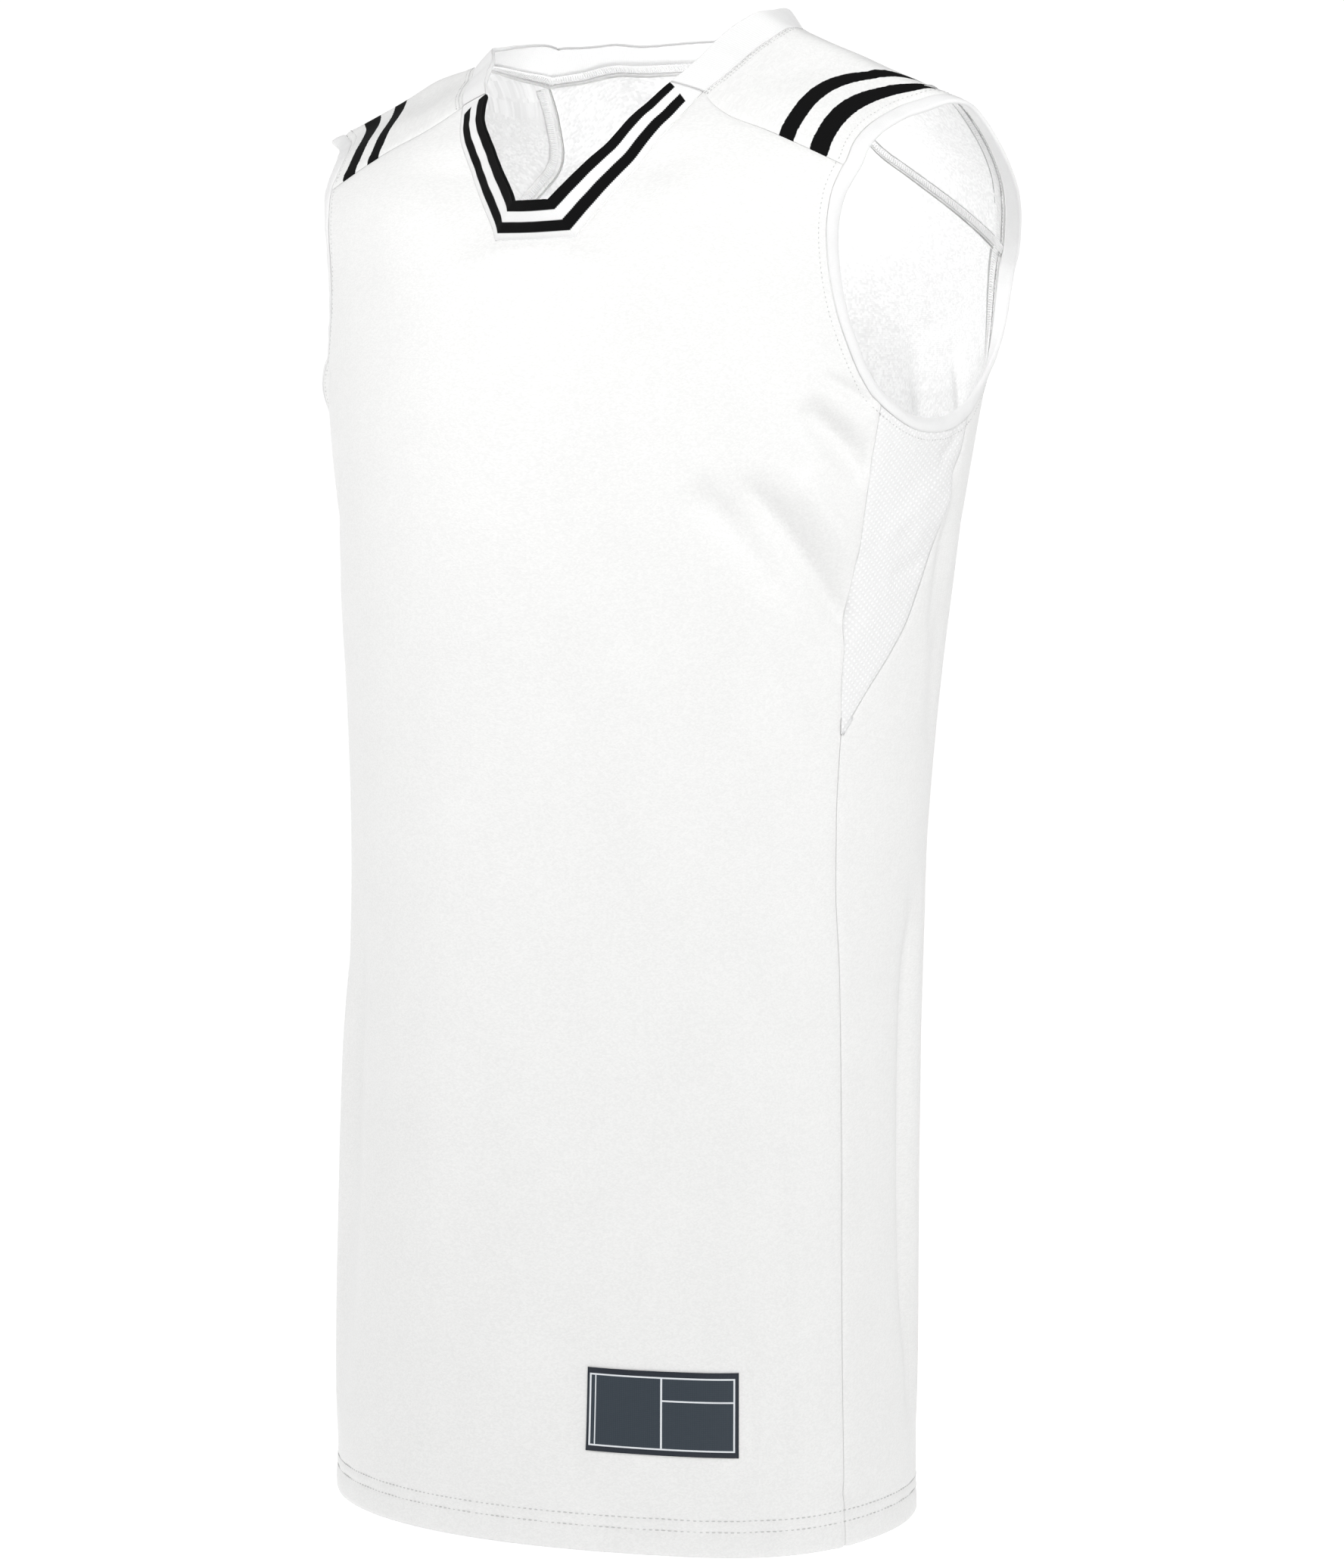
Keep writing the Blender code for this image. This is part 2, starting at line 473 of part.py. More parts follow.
# bindings round the armholes
def binding_points(turn):
    around = [
        (cloth(turn * each[:, 0], each[:, 1]), outward(turn * each[:, 0], each[:, 1]))
        for each in (arm_front, arm_under, arm_back)
    ]
    over = arm_top[::-1] * (turn, 1.0)
    around.append((sheet(over[:, 0], over[:, 1]), outward(over[:, 0], over[:, 1], sheet)))
    seam_line = np.concatenate([points[:-1] for points, _ in around])
    normal = np.concatenate([each[:-1] for _, each in around])
    tangent = np.roll(seam_line, -1, 0) - np.roll(seam_line, 1, 0)
    across = np.cross(normal, tangent)
    across /= np.linalg.norm(across, axis=1, keepdims=True)
    to_middle = seam_line.mean(0) - seam_line
    across *= np.sign((across * to_middle).sum(1).mean())
    table = np.array(ARMHOLE)
    rows = np.arange(len(table))
    fine = np.linspace(0, len(table) - 1, 1200)
    places = ring(turn * spline(rows, table[:, 0], fine), np.sqrt(np.maximum(spline(rows, table[:, 1], fine), 0.0)))
    nearest = np.linalg.norm(places[None] - seam_line[:, None], axis=2).argmin(1)
    flare, roll = (np.radians(spline(rows, table[:, k], fine[nearest]))[:, None] for k in (2, 3))
    stands = np.cos(flare) * across + np.sin(flare) * normal
    for _ in range(2):
        stands = (np.roll(stands, 1, 0) + 2 * stands + np.roll(stands, -1, 0)) / 4
    stands /= np.linalg.norm(stands, axis=1, keepdims=True)
    facing = normal - (normal * stands).sum(1, keepdims=True) * stands
    facing /= np.linalg.norm(facing, axis=1, keepdims=True)
    steps = (SEAM_GAP, 0.0022, 0.0043, 0.0064, BINDING_WIDTH)
    across_it = [seam_line + SEAM_GAP * stands]
    for start, stop in zip(steps[:-1], steps[1:]):
        turned = roll * step(0.0, BINDING_WIDTH, (start + stop) / 2)
        across_it.append(across_it[-1] + (stop - start) * (np.cos(turned) * stands - np.sin(turned) * facing))
    return np.stack(across_it)


for name, turn in (("armhole_binding_left", 1.0), ("armhole_binding_right", -1.0)):
    piece(name, binding_points(turn), BAND_WALL, "satin", closed=True, out_from=(0.0, 0.0, -0.10))


# collar
def collar_points(seam_line, landmark, steps=(0.0, 0.2, 0.6, 1.0)):
    table = np.array(COLLAR)
    inward, rearward, up = (
        np.where(landmark < 2.0, np.interp(landmark, table[:3, 0], table[:3, k]), spline(table[2:, 0], table[2:, k], landmark))
        for k in (1, 2, 3)
    )
    stands = np.stack((-np.sign(seam_line[:, 0]) * inward, rearward, up), -1)
    return seam_line[None] + stands[None] * np.array(steps)[:, None, None]


places = joined(v_side, v_flat, other_side(v_side))
fraction = measured(ring(v_side[:, 0], v_side[:, 1]))
down_v = 2.0 - fraction / fraction[-1]
landmark = np.concatenate((down_v, np.abs(v_flat[1:, 0]) / V_FLAT[0][0], down_v[::-1][1:]))
points = collar_points(cloth(places[:, 0], places[:, 1]), landmark)
piece("collar_front", inset(points), BAND_WALL, "knit", out_from=(0.0, 0.05, -0.12))

beside = sheet(neck_side[:, 0], neck_side[:, 1])
behind = ring(neck_back[:, 0], neck_back[:, 1])
far_behind, far_beside = other_side(neck_back), other_side(neck_side)
seam_line = np.concatenate((
    beside,
    behind[1:],
    ring(far_behind[:, 0], far_behind[:, 1])[1:],
    sheet(far_beside[:, 0], far_beside[:, 1])[1:],
))
level = neck_side[:, 1]
round_neck = 3.0 + np.where(level > 0, -level / NECK_SIDE[0][1], level / NECK_SIDE[-1][1])
across_back = measured(behind)
half = np.concatenate((round_neck, 4.0 + across_back[1:] / across_back[-1]))
piece("collar_back", inset(collar_points(seam_line, np.concatenate((half, half[::-1][1:])))), BAND_WALL, "knit", out_from=(0.0, 0.0, -0.02))

# label, on the front just above the hem
u, v = np.linspace(0.0, 1.0, 9)[None, :, None], np.linspace(0.0, 1.0, 6)[:, None, None]
upper_right, upper_left, lower_left, lower_right = (np.array(corner) for corner in LABEL_CORNERS)
grid = (1 - v) * ((1 - u) * upper_right + u * upper_left) + v * ((1 - u) * lower_right + u * lower_left)
theta, level = grid[..., 0], np.sqrt(grid[..., 1])
points = cloth(theta, level) + (SEAM_GAP + LABEL_WALL) * outward(theta, level)
piece("hem_label", points, LABEL_WALL, "label", out_from=(0.0, 0.0, -0.67))
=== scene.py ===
"""Dressed model of a sleeveless V-neck basketball jersey, filled out as if it were worn.

Metres, +Z up, the front faces -Y and the wearer's left side is +X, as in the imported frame.

The garment is one smooth form, JerseyForm, which gives a point of the cloth for a place on
it: theta, the angle round the body from the middle of the front, and drop, the fall below
the shoulder (level is the root of the drop). Every cut piece is a fine grid of places between
its own seam lines (Pattern), raised by the folds of Drape, drawn in along its seams, and
given a wall. Threads, overlocked seam allowances and the hem's double row are laid on the
same places.
"""

import logging
import math
from dataclasses import dataclass, field
from enum import Enum
from functools import partial, reduce
from typing import Callable, Optional, Sequence

import bpy
import numpy as np
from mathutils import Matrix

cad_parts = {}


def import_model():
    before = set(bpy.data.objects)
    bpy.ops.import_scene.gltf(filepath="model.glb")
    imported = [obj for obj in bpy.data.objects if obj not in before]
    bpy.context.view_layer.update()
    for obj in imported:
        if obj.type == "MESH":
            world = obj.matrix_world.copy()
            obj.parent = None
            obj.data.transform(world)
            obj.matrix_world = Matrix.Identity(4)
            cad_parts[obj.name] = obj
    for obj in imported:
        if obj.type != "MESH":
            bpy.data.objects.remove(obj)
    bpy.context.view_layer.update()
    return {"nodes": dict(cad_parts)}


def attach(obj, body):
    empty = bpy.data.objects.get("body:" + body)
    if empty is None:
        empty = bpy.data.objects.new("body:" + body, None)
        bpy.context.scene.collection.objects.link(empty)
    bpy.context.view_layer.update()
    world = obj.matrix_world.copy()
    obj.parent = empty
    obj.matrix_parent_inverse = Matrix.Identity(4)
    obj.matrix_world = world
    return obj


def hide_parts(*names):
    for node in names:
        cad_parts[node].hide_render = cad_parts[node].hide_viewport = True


Array = np.ndarray
Piece = bpy.types.Object
Material = bpy.types.Material
Socket = bpy.types.NodeSocket
LOG = logging.getLogger("jersey")

PANEL_WALL = 0.0013
HEM_WALL = 0.0024
HEM_DEPTH = 0.018
HEM_ROWS = (0.0125, 0.0180)
BAND_WALL = 0.0023
BINDING_WIDTH = 0.0085
LABEL_WALL = 0.0008
SEAM_GAP = 0.0001
METRES_PER_DEGREE = 0.0026
INK = (0.0020, 0.0020, 0.0022, 1.0)
WHITE = (1.0, 1.0, 1.0, 1.0)

# distances of the first vertices of a line from its end: plain, beside a neighbour, over the turned hem
EVEN = (0.0,)
TIGHT = (0.0, 0.0005, 0.0011, 0.0019, 0.0030, 0.0046)
TURNED = (
    0.0, 0.0006, 0.0014, 0.0030, 0.0055, 0.0080, 0.0102, 0.0115, 0.0125, 0.0135, 0.0150, 0.0165, 0.0175, 0.0187,
    0.0200, 0.0222,
)


class Side(Enum):
    """The wearer's side that a paired piece is for; the value turns +X into that side."""

    LEFT = 1.0
    RIGHT = -1.0

    def named(self, text: str) -> str:
        """A name with this side's ending."""
        return f"{text}_{self.name.lower()}"


# ---- curves and steps ----
def spline(knots: Sequence[float], values: Sequence[float], at: Array) -> Array:
    """Smooth curve through knots; its slope at each is the mean of the slopes beside it.

    Args:
        knots: rising places of the known values.
        values: the value at each knot.
        at: where the curve is read; beyond the ends it runs on straight.

    Returns:
        The curve at those places: the cubic Hermite blend of the two values and slopes beside them.
    """
    knots, values, at = np.asarray(knots, float), np.asarray(values, float), np.asarray(at, float)
    run = np.diff(knots)
    rise = np.diff(values) / run
    inner = (rise[1:] * run[:-1] + rise[:-1] * run[1:]) / (run[1:] + run[:-1])
    slope = np.concatenate(([rise[0]], inner, [rise[-1]]))
    i = np.clip(np.searchsorted(knots, at, side="right") - 1, 0, len(run) - 1)
    s = (at - knots[i]) / run[i]
    t = np.clip(s, 0.0, 1.0)
    h = run[i]
    value = (
        values[i] * (1 + 2 * t) * (1 - t) ** 2
        + values[i + 1] * t**2 * (3 - 2 * t)
        + h * slope[i] * t * (1 - t) ** 2
        + h * slope[i + 1] * t**2 * (t - 1)
    )
    return value + (s - t) * h * np.where(s < 0, slope[0], slope[-1])


def step(start: float, stop: float, at: Array) -> Array:
    """Smooth step from 0 at start to 1 at stop: 3s^2 - 2s^3."""
    s = np.clip((at - start) / (stop - start), 0.0, 1.0)
    return s * s * (3.0 - 2.0 * s)


def measured(points: Array) -> Array:
    """Distance along a line of points, from 0."""
    return np.concatenate(([0.0], np.cumsum(np.linalg.norm(np.diff(points, axis=0), axis=1))))


def unit(vectors: Array) -> Array:
    """The same directions with length 1."""
    return vectors / np.maximum(np.linalg.norm(vectors, axis=-1, keepdims=True), 1e-12)


def joined(*lines: Array) -> Array:
    """Lines end to end, each without the first place, which the one before it already has."""
    return np.concatenate([lines[0]] + [each[1:] for each in lines[1:]])


def paired(first: Array, second: Array) -> Array:
    """Two arrays of numbers side by side along a last axis, each spread to the shape of both."""
    return np.stack(np.broadcast_arrays(first, second), -1)


def read_along(at: Array, far: Array, values: Array) -> Array:
    """Rows of values, known at the distances far, read at other distances between them."""
    return np.stack([np.interp(at, far, column) for column in values.T], -1)


def square_to(vectors: Array, lines: Array) -> Array:
    """The unit vectors nearest to some vectors that are square to the unit vectors of some lines."""
    return unit(vectors - (vectors * lines).sum(-1, keepdims=True) * lines)


def rings(sides: int, first: Array, second: Array) -> Array:
    """An ellipse round 0 for each pair of half axes: cos(a) first + sin(a) second, a in even steps."""
    angle = np.linspace(0.0, 2 * np.pi, sides, endpoint=False)[:, None]
    return np.cos(angle) * first[..., None, :] + np.sin(angle) * second[..., None, :]


# ---- the form ----
@dataclass(frozen=True)
class JerseyForm:
    """The filled-out body of the jersey, as one smooth surface.

    Each row of sections gives, at one drop below the shoulder: the half width of the front
    and of the back, the depth of the front and of the back from the side line, where the
    side line lies, and the powers of the superellipses (2 is an ellipse, more is squarer).
    """

    hem_drop: float = 0.745
    shoulder_slope: float = 0.415
    neck_half: float = 0.0975
    nape_rise: float = 0.023
    shoulder_lean: float = 0.0052
    hem_sag: float = 0.004
    sections: tuple = (
        (0.0, 0.222, 0.222, 0.0, 0.0, 0.0, 2.8, 2.8),
        (0.012, 0.222, 0.223, 0.0218, 0.032, 0.0, 2.8, 2.85),
        (0.02, 0.222, 0.224, 0.033, 0.043, 0.0, 2.8, 2.88),
        (0.033, 0.22, 0.225, 0.0483, 0.059, 0.0, 2.8, 2.9),
        (0.047, 0.215, 0.225, 0.0602, 0.073, 0.0, 2.8, 2.9),
        (0.065, 0.204, 0.222, 0.074, 0.088, 0.0, 2.55, 2.88),
        (0.083, 0.197, 0.217, 0.0845, 0.0985, 0.0005, 2.3, 2.84),
        (0.1, 0.193, 0.21, 0.0905, 0.1052, 0.001, 2.15, 2.78),
        (0.125, 0.189, 0.199, 0.097, 0.112, 0.003, 2.1, 2.68),
        (0.15, 0.185, 0.1895, 0.103, 0.1157, 0.005, 2.15, 2.58),
        (0.203, 0.177, 0.177, 0.113, 0.1185, 0.008, 2.3, 2.42),
        (0.26, 0.17, 0.17, 0.116, 0.118, 0.0055, 2.25, 2.3),
        (0.34, 0.162, 0.162, 0.116, 0.116, 0.003, 2.2, 2.2),
        (0.42, 0.1574, 0.1574, 0.117, 0.115, 0.0, 2.15, 2.15),
        (0.52, 0.1562, 0.1562, 0.12, 0.1165, -0.0055, 2.1, 2.1),
        (0.62, 0.1566, 0.1566, 0.124, 0.1215, -0.009, 2.05, 2.05),
        (0.745, 0.1592, 0.1592, 0.129, 0.129, -0.0103, 2.0, 2.0),
    )

    def column_of(self, front: int, back: int, level: Array) -> Array:
        """One column of the sections down the front and another down the back.

        Args:
            front: the column read where level is above 0.
            back: the column read where level is below 0.
            level: root of the drop, positive down the front and negative down the back.

        Returns:
            The column's value as one smooth curve over the shoulder.
        """
        table = np.array(self.sections)
        roots = np.sqrt(table[:, 0])
        ahead = -table[:, front] if front == 3 else table[:, front]
        values = np.concatenate((table[:0:-1, back], ahead))
        return spline(np.concatenate((-roots[:0:-1], roots)), values, level)

    def ridge(self, x: Array) -> Array:
        """Height of the top of the shoulder: level near the neck, then an even fall, with a soft bend."""
        bend, before = 0.011, 0.006
        out = (np.abs(x) - (self.neck_half - before)) / bend
        at_neck = np.logaddexp(0.0, before / bend)
        return self.shoulder_slope * bend * (at_neck - np.logaddexp(0.0, out))

    def nape(self, x: Array, level: Array) -> Array:
        """Rise of the back where it climbs to the neck: a product of smooth steps across, over and down."""
        across = 1.0 - step(0.045, 0.105, np.abs(x))
        return self.nape_rise * across * step(0.0, 0.15, -level) * (1.0 - step(0.03, 0.17, level**2))

    def lean(self, x: Array, level: Array) -> Array:
        """The left shoulder hangs a little higher than the right: a tanh across, faded outwards and downwards."""
        sideways = np.tanh(x / 0.06) * (1.0 - 0.6 * step(0.09, 0.13, np.abs(x)) - 0.35 * step(0.14, 0.20, -x))
        return self.shoulder_lean * sideways * (1.0 - step(0.0, np.where(level > 0, 0.035, 0.030), level**2))

    def sag(self, column: Array, level: Array) -> Array:
        """The hem hangs lower at the left of the front: a Gaussian round theta 62, from drop 0.60 down."""
        theta = np.where(level > 0, column, 180.0 - column)
        return self.hem_sag * np.exp(-(((theta - 62.0) / 28.0) ** 2)) * step(0.60, self.hem_drop, level**2)

    def sheet(self, column: Array, level: Array) -> Array:
        """Point of the form on a sheet that runs over the shoulder.

        Args:
            column: angle from the middle to +-90 at the side, the same on front and back.
            level: root of the drop, positive down the front and negative down the back.

        Returns:
            x = half width * sin^(2/p), y = side line + depth * cos^(2/p), z = ridge, nape and
            lean less the drop and the sag. The half widths of front and back meet at the side line.
        """
        column, level = np.broadcast_arrays(np.asarray(column, float), np.asarray(level, float))
        drop = level**2
        across, along = np.sin(np.radians(column)), np.cos(np.radians(column))
        power = 2.0 / self.column_of(6, 7, level)
        half, other_half = (self.column_of(1, 2, each) for each in (level, -level))
        half = half + 0.5 * (other_half - half) * step(62.0, 90.0, np.abs(column))
        x = half * np.sign(across) * np.abs(across) ** power
        y = self.column_of(5, 5, level) + self.column_of(3, 4, level) * np.abs(along) ** power
        lift = 1.0 - step(0.0, 0.215, drop)
        z = -drop + lift * self.ridge(x) + self.nape(x, level) + self.lean(x, level) - self.sag(column, level)
        return np.stack((x, y, z), -1)

    def ring(self, theta: Array, level: Array) -> Array:
        """Point of the same form round the body.

        Args:
            theta: 0 at the middle of the front, 90 at the left side, 180 at the middle of the back.
            level: root of the drop.

        Returns:
            The sheet's point, with the back half turned onto its negative levels.
        """
        theta, level = np.broadcast_arrays(np.asarray(theta, float), np.asarray(level, float))
        turned = (theta + 180.0) % 360.0 - 180.0
        back = np.abs(turned) > 90.0
        column = np.where(back, np.sign(turned) * (180.0 - np.abs(turned)), turned)
        return self.sheet(column, np.where(back, -np.abs(level), np.abs(level)))

    def outward(self, theta: Array, level: Array, surface: Optional[Callable] = None) -> Array:
        """Unit normal of the form: the cross product of small steps down and round.

        Args:
            theta: angle, or column where surface is the sheet.
            level: root of the drop.
            surface: ring unless given.

        Returns:
            The unit normals, pointing away from the body.
        """
        place = surface or self.ring
        wide, tall = 0.05, 5e-4
        round_it = place(theta + wide, level) - place(theta - wide, level)
        down = place(theta, level + tall) - place(theta, level - tall)
        return unit(np.cross(down, round_it))

    def fall(self, level: Array, back: bool) -> Array:
        """Length of cloth from the top of the shoulder down the middle of the front or the back."""
        fine = np.linspace(0.0, math.sqrt(self.hem_drop) * 1.01, 300)
        line = self.ring(180.0 if back else 0.0, fine)
        return np.interp(np.abs(level), fine, measured(line))


@dataclass(frozen=True)
class Fold:
    """One soft crease in the cloth, from one place to another.

    width is from its line to where it has mostly faded, height is above the form (a trough
    is below 0), bow draws the middle of its line sideways, and skew makes one flank steeper.
    """

    theta_from: float
    drop_from: float
    theta_to: float
    drop_to: float
    width: float
    height: float
    bow: float = 0.0
    skew: float = 0.0

    def raised(self, theta: Array, drop: Array) -> Array:
        """Height of the fold: h (1 - (2t - 1)^4) exp(-(d/w)^2), t along its line and d from it."""
        run = np.array([(self.theta_to - self.theta_from) * METRES_PER_DEGREE, self.drop_to - self.drop_from])
        away = (theta - self.theta_from + 180.0) % 360.0 - 180.0
        across, down = away * METRES_PER_DEGREE, drop - self.drop_from
        length = float(run @ run)
        raw = (across * run[0] + down * run[1]) / length
        along = np.clip(raw, 0.0, 1.0)
        aside = (across * run[1] - down * run[0]) / math.sqrt(length) - 4.0 * self.bow * along * (1.0 - along)
        past = (raw - along) * math.sqrt(length)
        spread = self.width * (1.0 + self.skew * np.tanh(aside / self.width))
        faded = np.exp(-((aside / spread) ** 2 + (past / self.width) ** 2))
        return self.height * (1.0 - (2.0 * along - 1.0) ** 4) * faded


@dataclass(frozen=True)
class PlanFold:
    """One soft crease on a yoke, laid out as seen from above: x outwards and y to the back, in metres."""

    x_from: float
    y_from: float
    x_to: float
    y_to: float
    width: float
    height: float

    def raised(self, x: Array, y: Array) -> Array:
        """Height of the fold: h sin(pi t) exp(-(d/w)^2), t along its line and d from it."""
        run = np.array([self.x_to - self.x_from, self.y_to - self.y_from])
        along = np.clip(((x - self.x_from) * run[0] + (y - self.y_from) * run[1]) / (run @ run), 0.0, 1.0)
        squared = (x - self.x_from - along * run[0]) ** 2 + (y - self.y_from - along * run[1]) ** 2
        return self.height * np.sin(np.pi * along) * np.exp(-squared / self.width**2)


def folded(kind: type, *rows: tuple) -> tuple:
    """Creases of one kind, from rows of their numbers."""
    return tuple(kind(*row) for row in rows)


@dataclass(frozen=True)
class Drape:
    """All folds of the worn cloth: the broad ones, which the solids share, and the fine creases."""

    broad: tuple = folded(
        Fold,
        (13.5, 0.029, 6.5, 0.112, 0.024, -0.005), (-13.5, 0.029, -6.5, 0.112, 0.024, -0.005),
        (41.0, 0.225, 71.0, 0.3, 0.012, -0.0058, 0.004), (52.0, 0.218, 70.0, 0.262, 0.01, 0.0034),
        (31.0, 0.224, 52.0, 0.278, 0.011, -0.003), (51.0, 0.184, 70.0, 0.221, 0.0082, -0.0046),
        (52.0, 0.3, 66.0, 0.4, 0.015, -0.0025), (24.0, 0.3, 34.0, 0.47, 0.022, 0.0035),
        (14.0, 0.43, 20.0, 0.7, 0.02, -0.003), (52.0, 0.45, 46.0, 0.69, 0.022, 0.0025),
        (-12.0, 0.38, -16.0, 0.66, 0.026, 0.0025), (-44.0, 0.43, -50.0, 0.7, 0.017, -0.0035),
        (-56.0, 0.47, -60.0, 0.72, 0.014, 0.003), (-52.0, 0.2, -72.0, 0.29, 0.014, -0.0045),
        (-58.0, 0.16, -80.0, 0.18, 0.013, 0.0035), (84.0, 0.25, 99.0, 0.225, 0.011, 0.003),
        (-84.0, 0.26, -99.0, 0.23, 0.011, 0.003), (98.0, 0.44, 104.0, 0.66, 0.011, -0.004),
        (108.0, 0.4, 113.0, 0.7, 0.014, 0.0026), (-98.0, 0.42, -101.0, 0.65, 0.013, -0.004),
        (150.0, 0.14, 128.0, 0.29, 0.018, -0.0035), (-152.0, 0.15, -126.0, 0.3, 0.018, -0.0035),
        (150.0, 0.4, 144.0, 0.69, 0.024, 0.0035), (-164.0, 0.38, -158.0, 0.7, 0.024, -0.003),
        (-136.0, 0.43, -132.0, 0.69, 0.02, 0.003), (176.0, 0.45, 172.0, 0.71, 0.022, 0.0025),
    )
    fine: tuple = folded(
        Fold,
        # pulled from the chest towards the left side seam, under the armhole
        (39.0, 0.219, 70.5, 0.2985, 0.005, -0.0038, 0.004, 0.3), (46.0, 0.214, 66.0, 0.256, 0.005, 0.0014, 0.003),
        (51.5, 0.1845, 69.5, 0.218, 0.0056, -0.0034, 0.002), (54.5, 0.169, 69.0, 0.185, 0.0038, -0.0027, 0.001),
        (30.0, 0.2215, 50.0, 0.27, 0.0054, -0.0022, 0.002), (48.0, 0.265, 67.5, 0.308, 0.0056, -0.0015),
        (56.0, 0.33, 68.5, 0.41, 0.006, 0.0006, -0.002), (54.0, 0.146, 57.0, 0.164, 0.0024, -0.0009),
        (57.5, 0.154, 59.5, 0.169, 0.002, -0.0007), (58.5, 0.1925, 69.0, 0.2085, 0.0032, -0.0016),
        # the same on the right
        (-50.0, 0.196, -68.0, 0.27, 0.005, -0.0022, -0.003), (-57.0, 0.16, -68.0, 0.19, 0.0045, -0.0018),
        (-46.0, 0.226, -66.0, 0.318, 0.0065, -0.0007, -0.004),
        # long soft rolls down the lower body
        (36.0, 0.27, 42.0, 0.43, 0.011, 0.0012, 0.003), (30.0, 0.415, 31.0, 0.655, 0.01, -0.0012, -0.003),
        (4.0, 0.42, 8.0, 0.7, 0.014, 0.0006), (-4.0, 0.5, -7.0, 0.735, 0.01, -0.0005),
        (58.0, 0.52, 61.0, 0.738, 0.009, -0.0013, 0.002), (66.0, 0.56, 66.5, 0.738, 0.007, 0.0007),
        (-26.0, 0.43, -22.0, 0.66, 0.011, 0.001), (-44.5, 0.43, -41.0, 0.68, 0.009, -0.0015, -0.002),
        # puckers that run out from the hem and from the corners of the label
        (50.0, 0.7, 58.0, 0.742, 0.005, -0.0014), (22.0, 0.7, 26.0, 0.73, 0.0038, 0.0011),
        (33.0, 0.7, 37.5, 0.736, 0.0048, -0.0013), (42.0, 0.7, 44.5, 0.734, 0.0042, 0.001),
        (19.0, 0.64, 21.5, 0.7, 0.004, -0.001), (53.5, 0.63, 55.0, 0.712, 0.004, -0.0011),
        (28.0, 0.628, 34.0, 0.652, 0.005, 0.0004),
        # across the gussets and beside them, and at the hem below the left one
        (76.0, 0.252, 95.0, 0.216, 0.0055, 0.0016), (80.0, 0.27, 90.0, 0.262, 0.0045, -0.0013),
        (99.0, 0.205, 96.5, 0.3, 0.005, -0.0018), (98.5, 0.23, 104.5, 0.36, 0.011, -0.0022),
        (73.0, 0.7085, 80.0, 0.726, 0.0032, -0.001), (80.0, 0.724, 86.0, 0.713, 0.003, -0.0008),
        (91.0, 0.214, 97.0, 0.196, 0.0035, -0.0016), (-78.0, 0.258, -95.0, 0.22, 0.0055, 0.001),
        # the back: from the shoulder blades to the sides, then long rolls
        (156.0, 0.12, 138.0, 0.235, 0.007, -0.0026, 0.004), (-158.0, 0.13, -138.0, 0.25, 0.007, -0.0028, -0.004),
        (124.0, 0.18, 104.0, 0.3, 0.007, -0.001, 0.003), (-124.0, 0.186, -103.0, 0.31, 0.006, -0.0036, -0.003),
        (140.0, 0.15, 125.0, 0.212, 0.0056, -0.0026), (-136.0, 0.15, -117.0, 0.225, 0.0056, -0.0028),
        (160.0, 0.42, 154.0, 0.72, 0.011, -0.0022), (134.0, 0.44, 130.0, 0.7, 0.01, 0.0018),
        (-148.0, 0.43, -143.0, 0.72, 0.011, 0.002), (-122.0, 0.46, -118.0, 0.72, 0.009, -0.0022),
        (-174.0, 0.48, -170.0, 0.73, 0.012, -0.0014), (98.5, 0.42, 104.5, 0.7, 0.0052, -0.0036, 0.001, 0.3),
        (112.0, 0.5, 115.0, 0.73, 0.008, 0.0008), (-93.0, 0.46, -96.0, 0.69, 0.006, -0.001),
    )
    plan: tuple = folded(
        PlanFold,
        (0.1, -0.04, 0.128, -0.016, 0.006, -0.0009), (0.094, -0.02, 0.15, 0.01, 0.007, 0.0008),
        (0.096, 0.006, 0.16, 0.014, 0.005, -0.0006), (0.092, 0.03, 0.14, 0.052, 0.008, -0.0009),
        (0.11, -0.046, 0.165, -0.03, 0.008, 0.0005),
    )

    def height(self, theta: Array, drop: Array, finely: bool = True) -> Array:
        """Height of the folds together; none on the yokes, so they fade in from drop 0.05.

        Args:
            theta: angle round the body.
            drop: fall below the shoulder.
            finely: leave False for the broad folds alone.

        Returns:
            Metres above the form.
        """
        total = sum(each.raised(theta, drop) for each in self.broad)
        if finely:
            total = total + sum(each.raised(theta, drop) for each in self.fine)
        return total * step(0.050, 0.070, drop)

    def yoke_height(self, points: Array) -> Array:
        """Height of the yoke's own creases at points of the form."""
        return sum(each.raised(np.abs(points[..., 0]), points[..., 1]) for each in self.plan)


